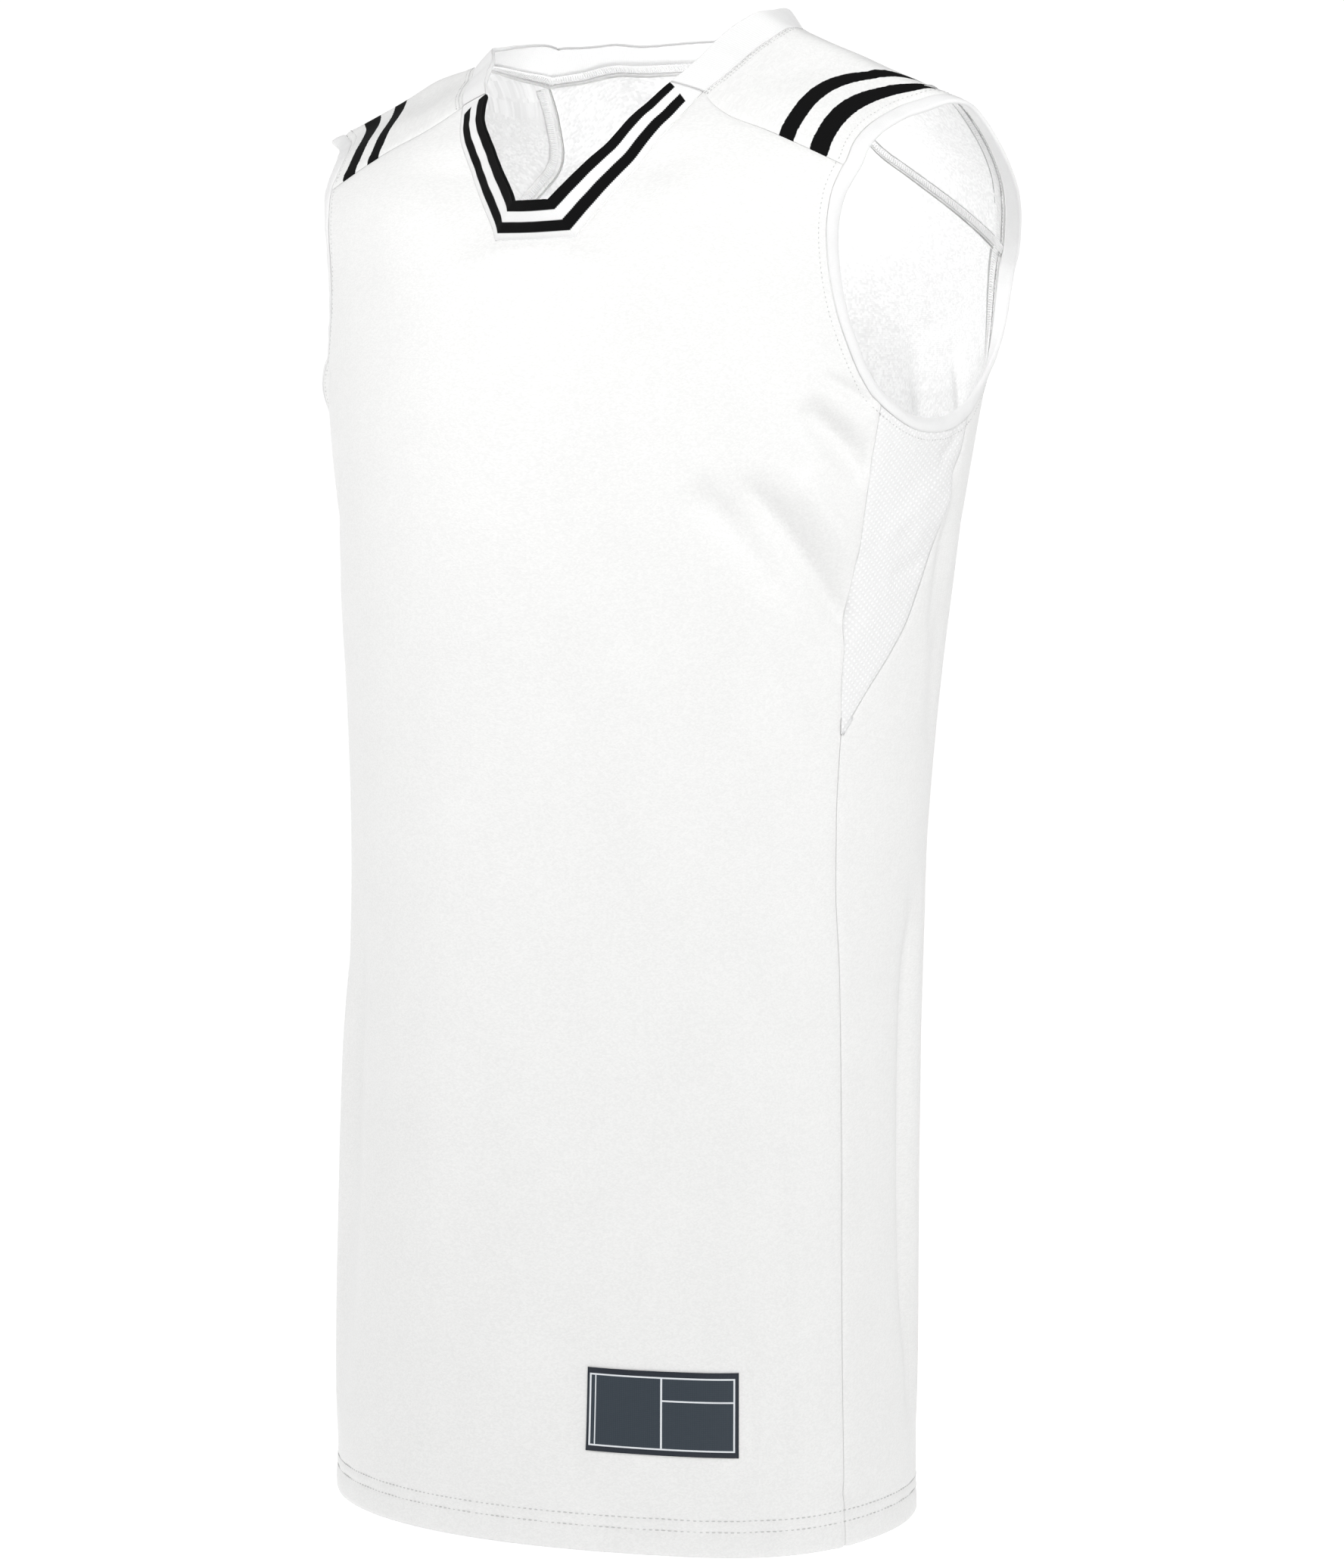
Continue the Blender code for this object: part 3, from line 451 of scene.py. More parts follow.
# ---- the pattern ----
@dataclass(frozen=True)
class Pattern:
    """The seam lines of the left half, as places (theta, drop) of the form; the right half mirrors them.

    armhole runs from the top of the shoulder down the front, under the arm and up the back.
    Its third number is how far, in degrees, the binding stands off the form at the seam, and
    its fourth how far it has rolled into the armhole by its free edge.
    """

    form: JerseyForm = field(default_factory=JerseyForm)
    drape: Drape = field(default_factory=Drape)
    armhole: tuple = (
        (52.6, 0.0, 5.0, 12.0), (48.0, 0.005, 4.0, 10.0), (43.6, 0.013, 4.0, 8.0), (40.3, 0.025, 4.0, 8.0),
        (39.8, 0.037, 2.0, 10.0), (41.2, 0.049, 0.0, 22.0), (44.6, 0.063, 2.0, 56.0), (48.4, 0.0805, 3.0, 76.0),
        (51.6, 0.101, 4.0, 84.0), (54.5, 0.1245, 4.0, 84.0), (58.3, 0.146, 4.0, 80.0), (64.0, 0.169, 4.0, 74.0),
        (70.6, 0.184, 4.0, 68.0), (81.0, 0.1956, 4.0, 62.0), (91.0, 0.197, 6.0, 50.0), (100.5, 0.188, 9.0, 28.0),
        (108.5, 0.1728, 14.0, 12.0), (117.6, 0.1545, 18.0, 4.0), (125.0, 0.133, 24.0, 0.0), (130.0, 0.111, 28.0, 0.0),
        (132.2, 0.0905, 30.0, 0.0), (131.8, 0.071, 29.0, 0.0), (129.8, 0.052, 25.0, 2.0), (127.0, 0.035, 19.0, 6.0),
        (125.3, 0.02, 13.0, 10.0), (125.9, 0.007, 8.0, 12.0), (127.4, 0.0, 5.0, 12.0),
    )
    at_yoke_front: int = 5
    at_gusset_front: int = 12
    at_gusset_rear: int = 15
    at_yoke_back: int = 20
    side_seam: tuple = (
        (76.7, 0.745), (76.4, 0.62), (75.6, 0.544), (73.6, 0.469), (71.2, 0.424), (70.1, 0.379), (69.8, 0.3466),
    )
    gusset_front: tuple = ((69.8, 0.3466), (68.8, 0.316), (69.2, 0.273), (70.2, 0.24), (70.6, 0.184))
    gusset_rear: tuple = (
        (69.8, 0.3466), (76.0, 0.326), (83.0, 0.306), (88.0, 0.288), (91.8, 0.26), (96.0, 0.231), (99.8, 0.208),
        (100.5, 0.188),
    )
    yoke_front: tuple = ((12.7, 0.033), (15.2, 0.0393), (19.0, 0.0438), (25.0, 0.0451), (32.6, 0.0468), (41.2, 0.049))
    yoke_back: tuple = (
        (165.8, 0.0196), (164.6, 0.034), (162.4, 0.05), (156.6, 0.0602), (147.0, 0.072), (132.2, 0.0905),
    )
    neck_back: tuple = ((165.8, 0.0196), (169.8, 0.0284), (174.6, 0.0336), (180.0, 0.0348))
    v_side: tuple = ((12.7, 0.033), (11.5, 0.045), (10.5, 0.065), (9.0, 0.084), (6.5, 0.1033))
    v_flat: tuple = ((6.5, 0.1033), (0.0, 0.1040), (-6.5, 0.1033))
    neck_side: tuple = (
        (12.7, 0.1817), (14.4, 0.156), (16.0, 0.115), (17.9, 0.062), (18.4, 0.0), (17.0, -0.075), (14.2, -0.14),
    )

    def stops(self, length: float, count: int, first: Sequence[float], last: Sequence[float]) -> Array:
        """Distances of count + 1 vertices along a line: those given from each end, and even steps between."""
        head, tail = np.array(first), length - np.array(last)[::-1]
        inner = np.linspace(head[-1], tail[0], count - len(head) - len(tail) + 3)
        return np.concatenate((head, inner[1:-1], tail))

    def line(
        self,
        table: Sequence[Sequence[float]],
        count: int,
        first: Sequence[float] = EVEN,
        last: Sequence[float] = EVEN,
        between: Optional[tuple] = None,
        on_sheet: bool = False,
    ) -> Array:
        """Places along one seam line, evenly spaced on the form.

        Args:
            table: rows (theta, drop), or (column, level) with on_sheet.
            count: number of faces along it.
            first: distances of the first vertices from the start.
            last: the same from the end.
            between: the first and last row of a longer table where the line runs.
            on_sheet: the rows are places of the sheet over the shoulder.

        Returns:
            Rows (theta, level), or (column, level) with on_sheet.
        """
        places = np.array([row[:2] for row in table], float)
        if not on_sheet:
            places[:, 1] = np.sqrt(places[:, 1])
        rows = np.arange(len(places))
        start, end = between or (0, len(places) - 1)
        fine = np.linspace(start, end, 900)
        fine_places = np.stack([spline(rows, each, fine) for each in places.T], -1)
        surface = self.form.sheet if on_sheet else self.form.ring
        far = measured(surface(*fine_places.T))
        return read_along(self.stops(far[-1], count, first, last), far, fine_places)

    def over_shoulder(self, count: int) -> Array:
        """The armhole seam beside the yoke, from its front seam over the shoulder, on the sheet."""
        rows = [(row[0], math.sqrt(row[1])) for row in self.armhole[self.at_yoke_front :: -1]]
        rows += [(180.0 - row[0], -math.sqrt(row[1])) for row in self.armhole[-2 : self.at_yoke_back - 1 : -1]]
        return self.line(rows, count, TIGHT, TIGHT, on_sheet=True)

    def coons(self, bottom: Array, top: Array, left: Array, right: Array) -> Array:
        """Grid of places between four lines that share their corners.

        Args:
            bottom, top: lines of equal length.
            left, right: lines of equal length, from the bottom up.

        Returns:
            The bilinear Coons patch: both ruled surfaces added, less the one through the corners.
        """
        rows = measured((left + right) / 2 * (METRES_PER_DEGREE, 1.0))
        columns = measured((bottom + top) / 2 * (METRES_PER_DEGREE, 1.0))
        v, u = (rows / rows[-1])[:, None, None], (columns / columns[-1])[None, :, None]
        ruled = (1 - v) * bottom[None] + v * top[None] + (1 - u) * left[:, None] + u * right[:, None]
        corners = (1 - u) * (1 - v) * bottom[0] + u * (1 - v) * bottom[-1] + (1 - u) * v * top[0] + u * v * top[-1]
        return ruled - corners

    def cloth(self, theta: Array, level: Array, finely: bool = True) -> Array:
        """Point of the outer face of the folded cloth: the form, raised along its normal."""
        theta, level = np.broadcast_arrays(np.asarray(theta, float), np.asarray(level, float))
        height = self.drape.height(theta, level**2, finely)
        return self.form.ring(theta, level) + height[..., None] * self.form.outward(theta, level)

    def yoke_cloth(self, column: Array, level: Array) -> Array:
        """Point of the outer face of a yoke."""
        points = self.form.sheet(column, level)
        return points + self.drape.yoke_height(points)[..., None] * self.form.outward(column, level, self.form.sheet)

    def cut_uv(self, theta: Array, level: Array) -> Array:
        """Metres on the flat cut: round the body, and down from the shoulder, blended from front to back."""
        behind = step(60.0, 120.0, np.abs((theta + 180.0) % 360.0 - 180.0))
        down = self.form.fall(level, False) * (1.0 - behind) + self.form.fall(level, True) * behind
        return paired(theta * METRES_PER_DEGREE, -down)


def other_side(places: Array, whole: float = 0.0) -> Array:
    """The mirror image of a line of places, run the other way; whole is 360 on the back."""
    return np.array((whole, 0.0)) + places[::-1] * (-1.0, 1.0)


def nearest_on(points: Array, line: Array) -> tuple:
    """How far points are from a line, and where along it they are nearest.

    Args:
        points: any array of points.
        line: a finely divided line of points.

    Returns:
        (distance, distance along the line): the foot of the perpendicular on the two
        segments beside the line's nearest vertex.
    """
    flat, far = points.reshape(-1, 3), measured(line)
    distance, along = np.empty(len(flat)), np.empty(len(flat))
    block = 4000
    for start in range(0, len(flat), block):
        rows = slice(start, start + block)
        part = flat[rows]
        squared = (part**2).sum(1)[:, None] + (line**2).sum(1)[None] - 2.0 * part @ line.T
        i = squared.argmin(1)
        best, place = np.full(len(part), np.inf), np.zeros(len(part))
        for a in (np.maximum(i - 1, 0), np.minimum(i, len(line) - 2)):
            segment = line[a + 1] - line[a]
            t = np.clip(((part - line[a]) * segment).sum(1) / np.maximum((segment**2).sum(1), 1e-18), 0.0, 1.0)
            off = np.linalg.norm(part - line[a] - t[:, None] * segment, axis=1)
            closer = off < best
            best[closer] = off[closer]
            place[closer] = (far[a] + t * (far[a + 1] - far[a]))[closer]
        distance[rows], along[rows] = best, place
    return distance.reshape(points.shape[:-1]), along.reshape(points.shape[:-1])


def grid_normals(points: Array, inside: Sequence[float]) -> tuple:
    """Unit normals of a grid.

    Args:
        points: the grid.
        inside: a point that they should turn away from.

    Returns:
        (normals, sign): the cross product of the grid's central differences along rows and
        columns, times the sign that turns them away from the point.
    """
    normals = unit(np.cross(np.gradient(points, axis=1), np.gradient(points, axis=0)))
    sign = -1.0 if ((points - inside) * normals).sum() < 0 else 1.0
    return sign * normals, sign


@dataclass(frozen=True)
class SeamDraw:
    """How a seam draws its cloth in: a soft groove, the allowance's ridge beside it, and puckers."""

    groove: float = 0.0006
    reach: float = 0.0024
    ridge: float = 0.00022
    pucker: float = 0.00022
    pitch: float = 0.0105

    def height(self, distance: Array, along: Array, phase: float) -> Array:
        """Height beside a seam.

        Args:
            distance: metres from the seam.
            along: metres along it.
            phase: shifts the puckers, so that no two seams have the same.

        Returns:
            -groove (1 - d/reach)^2, plus ridge exp(-((d - 4.8 mm)/2.1 mm)^2), plus puckers that
            are the sum of two sines along the seam and fade as exp(-(d/6.5 mm)^2).
        """
        near = np.clip(1.0 - distance / self.reach, 0.0, 1.0)
        allowance = np.exp(-(((distance - 0.0048) / 0.0021) ** 2))
        turns = 2 * np.pi * along / self.pitch
        wave = 0.6 * np.sin(turns + phase) + 0.4 * np.sin(turns / 1.62 + 2.3 * phase)
        uneven = 0.55 + 0.45 * np.sin(turns / 5.3 + 1.7 * phase)
        ripple = wave * uneven * np.exp(-((distance / 0.0065) ** 2)) * (1.0 - np.exp(-((distance / 0.0012) ** 2)))
        return -self.groove * near**2 + self.ridge * allowance + self.pucker * ripple


# ---- meshes ----
def new_mesh_object(
    name: str, points: Array, faces: Array, materials: Sequence[Material], layer: Optional[Array] = None
) -> Piece:
    """A smooth mesh object at the origin from whole arrays.

    Args:
        name: the piece's name.
        points: vertices, (n, 3).
        faces: corners of the quads, (m, 4).
        materials: the object's material slots.
        layer: slot of each face.

    Returns:
        The object, linked into the scene.
    """
    mesh = bpy.data.meshes.new(name)
    mesh.vertices.add(len(points))
    mesh.vertices.foreach_set("co", points.astype(np.float32).ravel())
    mesh.loops.add(faces.size)
    mesh.loops.foreach_set("vertex_index", faces.astype(np.int32).ravel())
    mesh.polygons.add(len(faces))
    mesh.polygons.foreach_set("loop_start", np.arange(0, faces.size, faces.shape[1], dtype=np.int32))
    if layer is not None:
        mesh.polygons.foreach_set("material_index", layer.astype(np.int32))
    mesh.polygons.foreach_set("use_smooth", np.ones(len(faces), bool))
    mesh.update(calc_edges=True)
    mesh.validate()
    for each in materials:
        mesh.materials.append(each)
    made = bpy.data.objects.new(name, mesh)
    bpy.context.scene.collection.objects.link(made)
    return made


def set_uv(made: Piece, name: str, uv: Array) -> None:
    """Gives a mesh a UV map from one pair of numbers per vertex."""
    mesh = made.data
    corner = np.empty(len(mesh.loops), np.int32)
    mesh.loops.foreach_get("vertex_index", corner)
    mesh.uv_layers.new(name=name).data.foreach_set("uv", uv[corner].astype(np.float32).ravel())


def grid_faces(rows: int, columns: int, closed: bool = False, looped: bool = False) -> Array:
    """Quads of a grid numbered row by row; closed joins the last column to the first, and looped the last row."""
    r, c = np.ogrid[: rows - (not looped), : columns - (not closed)]
    row, column = (r + 1) % rows * columns, (c + 1) % columns
    corners = (r * columns + c, r * columns + column, row + column, row + c)
    return np.stack(corners, -1).reshape(-1, 4)


def gathered(name: str, parts: Sequence[tuple], material: Material) -> Piece:
    """One object of several parts, each given as (points, faces)."""
    begins = np.cumsum([0] + [len(points) for points, _ in parts])
    faces = np.concatenate([faces + begin for (_, faces), begin in zip(parts, begins)])
    return new_mesh_object(name, np.concatenate([points for points, _ in parts]), faces, [material])


def triangle_corners(mesh: bpy.types.Mesh) -> Array:
    """The three corners of a mesh's triangles, as three arrays of points."""
    mesh.calc_loop_triangles()
    corners = np.empty(len(mesh.loop_triangles) * 3, np.int32)
    mesh.loop_triangles.foreach_get("vertices", corners)
    points = np.empty(len(mesh.vertices) * 3, np.float32)
    mesh.vertices.foreach_get("co", points)
    return points.reshape(-1, 3)[corners.reshape(-1, 3)].transpose(1, 0, 2)


def cloth_area(made: Piece) -> float:
    """Half of a closed shell's surface, which is the area of its cloth."""
    a, b, c = triangle_corners(made.data)
    return float(np.linalg.norm(np.cross(b - a, c - a), axis=1).sum() / 4.0)


def fix_outward(made: Piece) -> None:
    """Turns a closed mesh's faces out if its signed volume is below 0."""
    a, b, c = triangle_corners(made.data).astype(float)
    if (a * np.cross(b, c)).sum() < 0:
        made.data.flip_normals()


@dataclass
class ClothShell:
    """A cut piece with a wall: an outer and an inner face, closed round its edge by a rounded rim.

    wall is one number or one for each point, uv gives UV maps by name, and inside is a point
    that the inner face looks towards.
    """

    points: Array
    wall: object
    uv: dict
    inside: tuple
    bulge: float = 0.00035

    def build(self, name: str, materials: Sequence[Material]) -> Piece:
        """Makes the mesh.

        Args:
            name: the piece's name.
            materials: outer and inner finish.

        Returns:
            The object. Its inner face is the outer one moved in by the wall along the grid's
            normals, and its rim has a middle row that stands out by the bulge.
        """
        outer, uv = self.points, self.uv
        rows, columns = outer.shape[:2]
        wall = np.broadcast_to(self.wall, (rows, columns))
        normals, sign = grid_normals(outer, self.inside)
        if sign < 0:
            outer, normals, wall = outer[:, ::-1], normals[:, ::-1], wall[:, ::-1]
            uv = {key: values[:, ::-1] for key, values in uv.items()}
        outer, inner = (each.reshape(-1, 3) for each in (outer, outer - normals * wall[..., None]))
        count, faces = rows * columns, grid_faces(rows, columns)
        path, away = self.border(rows, columns)
        rim = (outer[path] + inner[path]) / 2 + unit(outer[path] - outer[away]) * self.bulge
        middle, below = np.arange(len(path)) + 2 * count, path + count
        parts = (
            faces,
            faces[:, ::-1] + count,
            np.stack((path, middle, np.roll(middle, -1), np.roll(path, -1)), -1),
            np.stack((middle, below, np.roll(below, -1), np.roll(middle, -1)), -1),
        )
        layer = np.repeat((0, 1, 0, 0), [len(each) for each in parts])
        made = new_mesh_object(name, np.concatenate((outer, inner, rim)), np.concatenate(parts), materials, layer)
        for key, values in uv.items():
            flat = values.reshape(-1, 2)
            set_uv(made, key, np.concatenate((flat, flat, flat[path])))
        return made

    def border(self, rows: int, columns: int) -> tuple:
        """Closed loop of border vertices, and the vertex that lies inwards of each.

        Args:
            rows, columns: size of the grid.

        Returns:
            (path, inner neighbours), wound so that the rim's quads face out.
        """
        index = np.arange(rows * columns).reshape(rows, columns)
        path = np.concatenate((index[0, :0:-1], index[:-1, 0], index[-1, :-1], index[:0:-1, -1]))
        away = np.concatenate((index[1, :0:-1], index[:-1, 1], index[-2, :-1], index[:0:-1, -2]))
        away[0], away[columns - 1] = index[1, -2], index[1, 1]
        away[columns - 1 + rows - 1], away[2 * (columns - 1) + rows - 1] = index[-2, 1], index[-2, -2]
        return path, away


# ---- finishes ----
class NodeSheet:
    """The node tree of a material or a world, with short ways to add and join nodes."""

    def __init__(self, owner: bpy.types.ID, shader: str = "Principled BSDF") -> None:
        """Starts the owner's nodes with their usual shader."""
        owner.use_nodes = True
        self.tree = owner.node_tree
        self.shader = self.tree.nodes[shader]

    def node(self, kind: str, settings: Optional[dict] = None, **inputs: object) -> bpy.types.Node:
        """Adds one node.

        Args:
            kind: the node's class name, without ShaderNode.
            settings: attributes of the node itself.
            **inputs: values or output sockets for its inputs, by name or as i0, i1, ...

        Returns:
            The node.
        """
        made = self.tree.nodes.new("ShaderNode" + kind)
        for key, value in (settings or {}).items():
            setattr(made, key, value)
        for key, value in inputs.items():
            numbered = key[0] == "i" and key[1:].isdigit()
            self.join(value, made.inputs[int(key[1:]) if numbered else key.replace("_", " ")])
        return made

    def join(self, value: object, socket: Socket) -> None:
        """Links an output to a socket, or sets the socket's value."""
        if isinstance(value, Socket):
            self.tree.links.new(value, socket)
        else:
            socket.default_value = value

    def math(self, operation: str, *values: object) -> Socket:
        """A Math node's result."""
        inputs = {f"i{i}": value for i, value in enumerate(values)}
        return self.node("Math", {"operation": operation}, **inputs).outputs[0]

    def times(self, *values: object) -> Socket:
        """The product of two values."""
        return self.math("MULTIPLY", *values)

    def plus(self, *values: object) -> Socket:
        """The sum of two values."""
        return self.math("ADD", *values)

    def uv(self, name: str) -> Socket:
        """The named UV map."""
        return self.node("UVMap", {"uv_map": name}).outputs[0]

    def place(self, kind: str = "Object") -> Socket:
        """The point of the piece itself, or another coordinate."""
        return self.node("TexCoord").outputs[kind]

    def dot(self, vector: Socket, direction: tuple) -> Socket:
        """How far a vector reaches in one direction."""
        return self.node("VectorMath", {"operation": "DOT_PRODUCT"}, i0=vector, i1=direction).outputs["Value"]

    def scaled(self, vector: Socket, x: float, y: float) -> Socket:
        """A vector multiplied along both axes."""
        return self.node("VectorMath", {"operation": "MULTIPLY"}, i0=vector, i1=(x, y, 1.0)).outputs[0]

    def split(self, vector: Socket) -> tuple:
        """The first two coordinates of a vector."""
        return tuple(self.node("SeparateXYZ", None, i0=vector).outputs[:2])

    def grey(self, value: Socket, blue: Optional[Socket] = None) -> Socket:
        """A colour with one value in all channels, or with its own blue."""
        return self.node("CombineColor", None, i0=value, i1=value, i2=blue or value).outputs[0]

    def mix(self, factor: object, first: object, second: object) -> Socket:
        """Blend of two colours."""
        made = self.node("Mix", {"data_type": "RGBA"})
        for value, i in ((factor, 0), (first, 6), (second, 7)):
            self.join(value, made.inputs[i])
        return made.outputs[2]

    def ranged(
        self, value: Socket, low: float, high: float, to_low: object, to_high: object, smooth: bool = False
    ) -> Socket:
        """A value moved from one range to another, straight or smoothly, and kept inside it."""
        settings = {"interpolation_type": "SMOOTHSTEP" if smooth else "LINEAR"}
        inputs = {"i0": value, "i1": low, "i2": high, "i3": to_low, "i4": to_high}
        return self.node("MapRange", settings, **inputs).outputs[0]

    def noise(self, vector: Socket, scale: float, detail: float, roughness: float = 0.5, flat: bool = True) -> Socket:
        """A noise from 0 to 1, over the first two coordinates unless flat is False."""
        settings = {"noise_dimensions": "2D" if flat else "3D"}
        inputs = {"Vector": vector, "Scale": scale, "Detail": detail, "Roughness": roughness}
        return self.node("TexNoise", settings, **inputs).outputs[0]

    def cloud(self, noise: Socket, low: float, high: float, cut: float = 0.3) -> Socket:
        """A noise without its ends, stretched from low to high."""
        return self.ranged(noise, cut, 1.0 - cut, low, high)

    def cells(self, vector: Socket, randomness: float) -> tuple:
        """Flat Voronoi cells of unit size: the shade of each, and the distance from its middle."""
        inputs = {"Vector": vector, "Scale": 1.0, "Randomness": randomness}
        made = self.node("TexVoronoi", {"voronoi_dimensions": "2D"}, **inputs)
        return self.split(made.outputs["Color"])[0], made.outputs["Distance"]

    def wave(self, vector: Socket, direction: str, scale: float, distortion: float) -> Socket:
        """Bands across one direction."""
        settings = {"wave_type": "BANDS", "bands_direction": direction}
        inputs = {"Vector": vector, "Scale": scale, "Distortion": distortion}
        return self.node("TexWave", settings, **inputs).outputs["Fac"]

    def bump(self, height: Socket, strength: float, distance: float, under: Optional[Socket] = None) -> Socket:
        """A Bump node's normal, over another one's where given."""
        inputs = {"Strength": strength, "Distance": distance, "Height": height}
        if under:
            inputs["Normal"] = under
        return self.node("Bump", None, **inputs).outputs[0]

    def band(self, value: Socket, low: float, high: float, soft: float) -> Socket:
        """1 between two numbers and 0 outside them, with soft edges."""
        up = self.ranged(value, low - soft, low + soft, 0.0, 1.0)
        down = self.ranged(value, high - soft, high + soft, 1.0, 0.0)
        return self.times(up, down)

    def any_band(self, value: Socket, bands: Sequence[tuple], soft: float) -> Socket:
        """1 inside any of several bands."""
        made = [self.band(value, low, high, soft) for low, high in bands]
        return reduce(lambda first, second: self.math("MAXIMUM", first, second), made)

    def set(self, **inputs: object) -> None:
        """Sets or links inputs of the shader, by name with _ for a space."""
        for key, value in inputs.items():
            self.join(value, self.shader.inputs[key.replace("_", " ")])


@dataclass(frozen=True)
class Finish:
    """A procedural finish of one kind of cloth or thread."""

    tone: float = 0.80
    roughness: float = 0.5
    specular: float = 0.4

    def paint(self, sheet: NodeSheet) -> None:
        """Adds what is the finish's own to the sheet."""
        raise NotImplementedError

    def make(self, name: str) -> Material:
        """The finished material."""
        material = bpy.data.materials.new(name)
        sheet = NodeSheet(material)
        sheet.set(Roughness=self.roughness, Specular_IOR_Level=self.specular)
        self.paint(sheet)
        return material


@dataclass(frozen=True)
class DazzleSatin(Finish):
    """White polyester dazzle satin: tiny lustrous dashes in brick courses over a fine warp knit."""

    roughness: float = 0.46
    specular: float = 0.42
    dash: tuple = (0.00095, 0.00062)
    speckle: tuple = (-0.030, 0.022)
    rib: float = 0.0105
    warmth: float = 0.992
    sheen: tuple = (0.03, 0.45)
    relief: float = 0.28

    def ground(self, sheet: NodeSheet) -> tuple:
        """Colour and normal of the cloth.

        Args:
            sheet: the material being made.

        Returns:
            (colour, normal): the tone, speckled by Voronoi cells the size of a dash, with their
            borders as bump over a knit of fine ribs.
        """
        cut = sheet.uv("Cut")
        shade, apart = sheet.cells(sheet.scaled(cut, 1.0 / self.dash[0], 1.0 / self.dash[1]), 0.85)
        lit = sheet.ranged(shade, 0.0, 1.0, self.tone + self.speckle[0], self.tone + self.speckle[1])
        value = sheet.plus(lit, sheet.cloud(sheet.noise(cut, 26.0, 3.0, 0.55), -0.006, 0.006))
        ribs = sheet.wave(sheet.scaled(cut, 1.0 / self.rib, 1.0), "X", 1.0, 0.0)
        colour = sheet.grey(value, sheet.times(value, self.warmth))
        return colour, sheet.bump(apart, self.relief, 0.00022, sheet.bump(ribs, 0.10, 0.0002))

    def paint(self, sheet: NodeSheet) -> None:
        """The ground with a faint sheen."""
        colour, normal = self.ground(sheet)
        sheet.set(Base_Color=colour, Normal=normal, Sheen_Weight=self.sheen[0], Sheen_Roughness=self.sheen[1])


@dataclass(frozen=True)
class StripedSatin(DazzleSatin):
    """The same satin with two printed black stripes, set by their distance from the armhole seam."""

    specular: float = 0.13
    stripes: tuple = ((0.0098, 0.0196), (0.0286, 0.0370))
    ink: tuple = INK
    dull: float = 0.85

    def paint(self, sheet: NodeSheet) -> None:
        """The ink lies where the seam distance, made a little ragged, is inside a stripe."""
        colour, normal = self.ground(sheet)
        printed = sheet.uv("Yoke")
        across, _ = sheet.split(printed)
        uneven = sheet.cloud(sheet.noise(printed, 900.0, 1.0), -0.00020, 0.00020, 0.2)
        ragged = sheet.plus(across, uneven)
        mask = sheet.any_band(ragged, self.stripes, 0.00012)
        dulled = sheet.ranged(mask, 0.0, 1.0, self.roughness, self.dull)
        sheet.set(Base_Color=sheet.mix(mask, colour, self.ink), Normal=normal, Roughness=dulled)


@dataclass(frozen=True)
class SatinReverse(Finish):
    """The dull knitted wrong side of the satin."""

    tone: float = 0.89
    roughness: float = 0.78
    specular: float = 0.25
    pitch: float = 0.0010

    def paint(self, sheet: NodeSheet) -> None:
        """Cells of a small knit, each of its own shade, under a faint cloud."""
        cut = sheet.uv("Cut")
        shade, apart = sheet.cells(sheet.scaled(cut, 1.0 / self.pitch, 0.8 / self.pitch), 0.35)
        loops = sheet.ranged(shade, 0.0, 1.0, self.tone + 0.03, self.tone - 0.09)
        value = sheet.plus(loops, sheet.cloud(sheet.noise(cut, 90.0, 4.0, 0.65), -0.016, 0.016))
        sheet.set(Base_Color=sheet.grey(value), Normal=sheet.bump(apart, 0.35, 0.0003))


@dataclass(frozen=True)
class PinDotMesh(Finish):
    """White knitted mesh: small raised white dots in close offset rows on a slightly darker open ground."""

    tone: float = 0.90
    roughness: float = 0.66
    specular: float = 0.3
    ground: float = 0.775
    pitch: tuple = (0.0038, 0.00175)
    dot: float = 0.27
    flatness: float = 0.58

    def paint(self, sheet: NodeSheet) -> None:
        """The distance from the nearest point of a staggered grid makes the dots."""
        cut = sheet.uv("Cut")
        u, v = sheet.split(sheet.scaled(cut, 1.0 / self.pitch[0], 1.0 / self.pitch[1]))
        shifted = sheet.plus(u, sheet.times(sheet.math("FLOOR", v), 0.5))
        du, dv = (sheet.math("SUBTRACT", sheet.math("FRACT", each), 0.5) for each in (shifted, v))
        dv = sheet.times(dv, self.flatness)
        squared = (sheet.times(each, each) for each in (du, dv))
        away = sheet.math("SQRT", sheet.plus(*squared))
        dot = sheet.ranged(away, self.dot * 0.45, self.dot, 1.0, 0.0)
        shade = sheet.ranged(dot, 0.0, 1.0, self.ground, self.tone)
        value = sheet.plus(shade, sheet.cloud(sheet.noise(cut, 1400.0, 1.0), -0.02, 0.02))
        sheet.set(Base_Color=sheet.grey(value), Normal=sheet.bump(dot, 0.45, 0.0004))


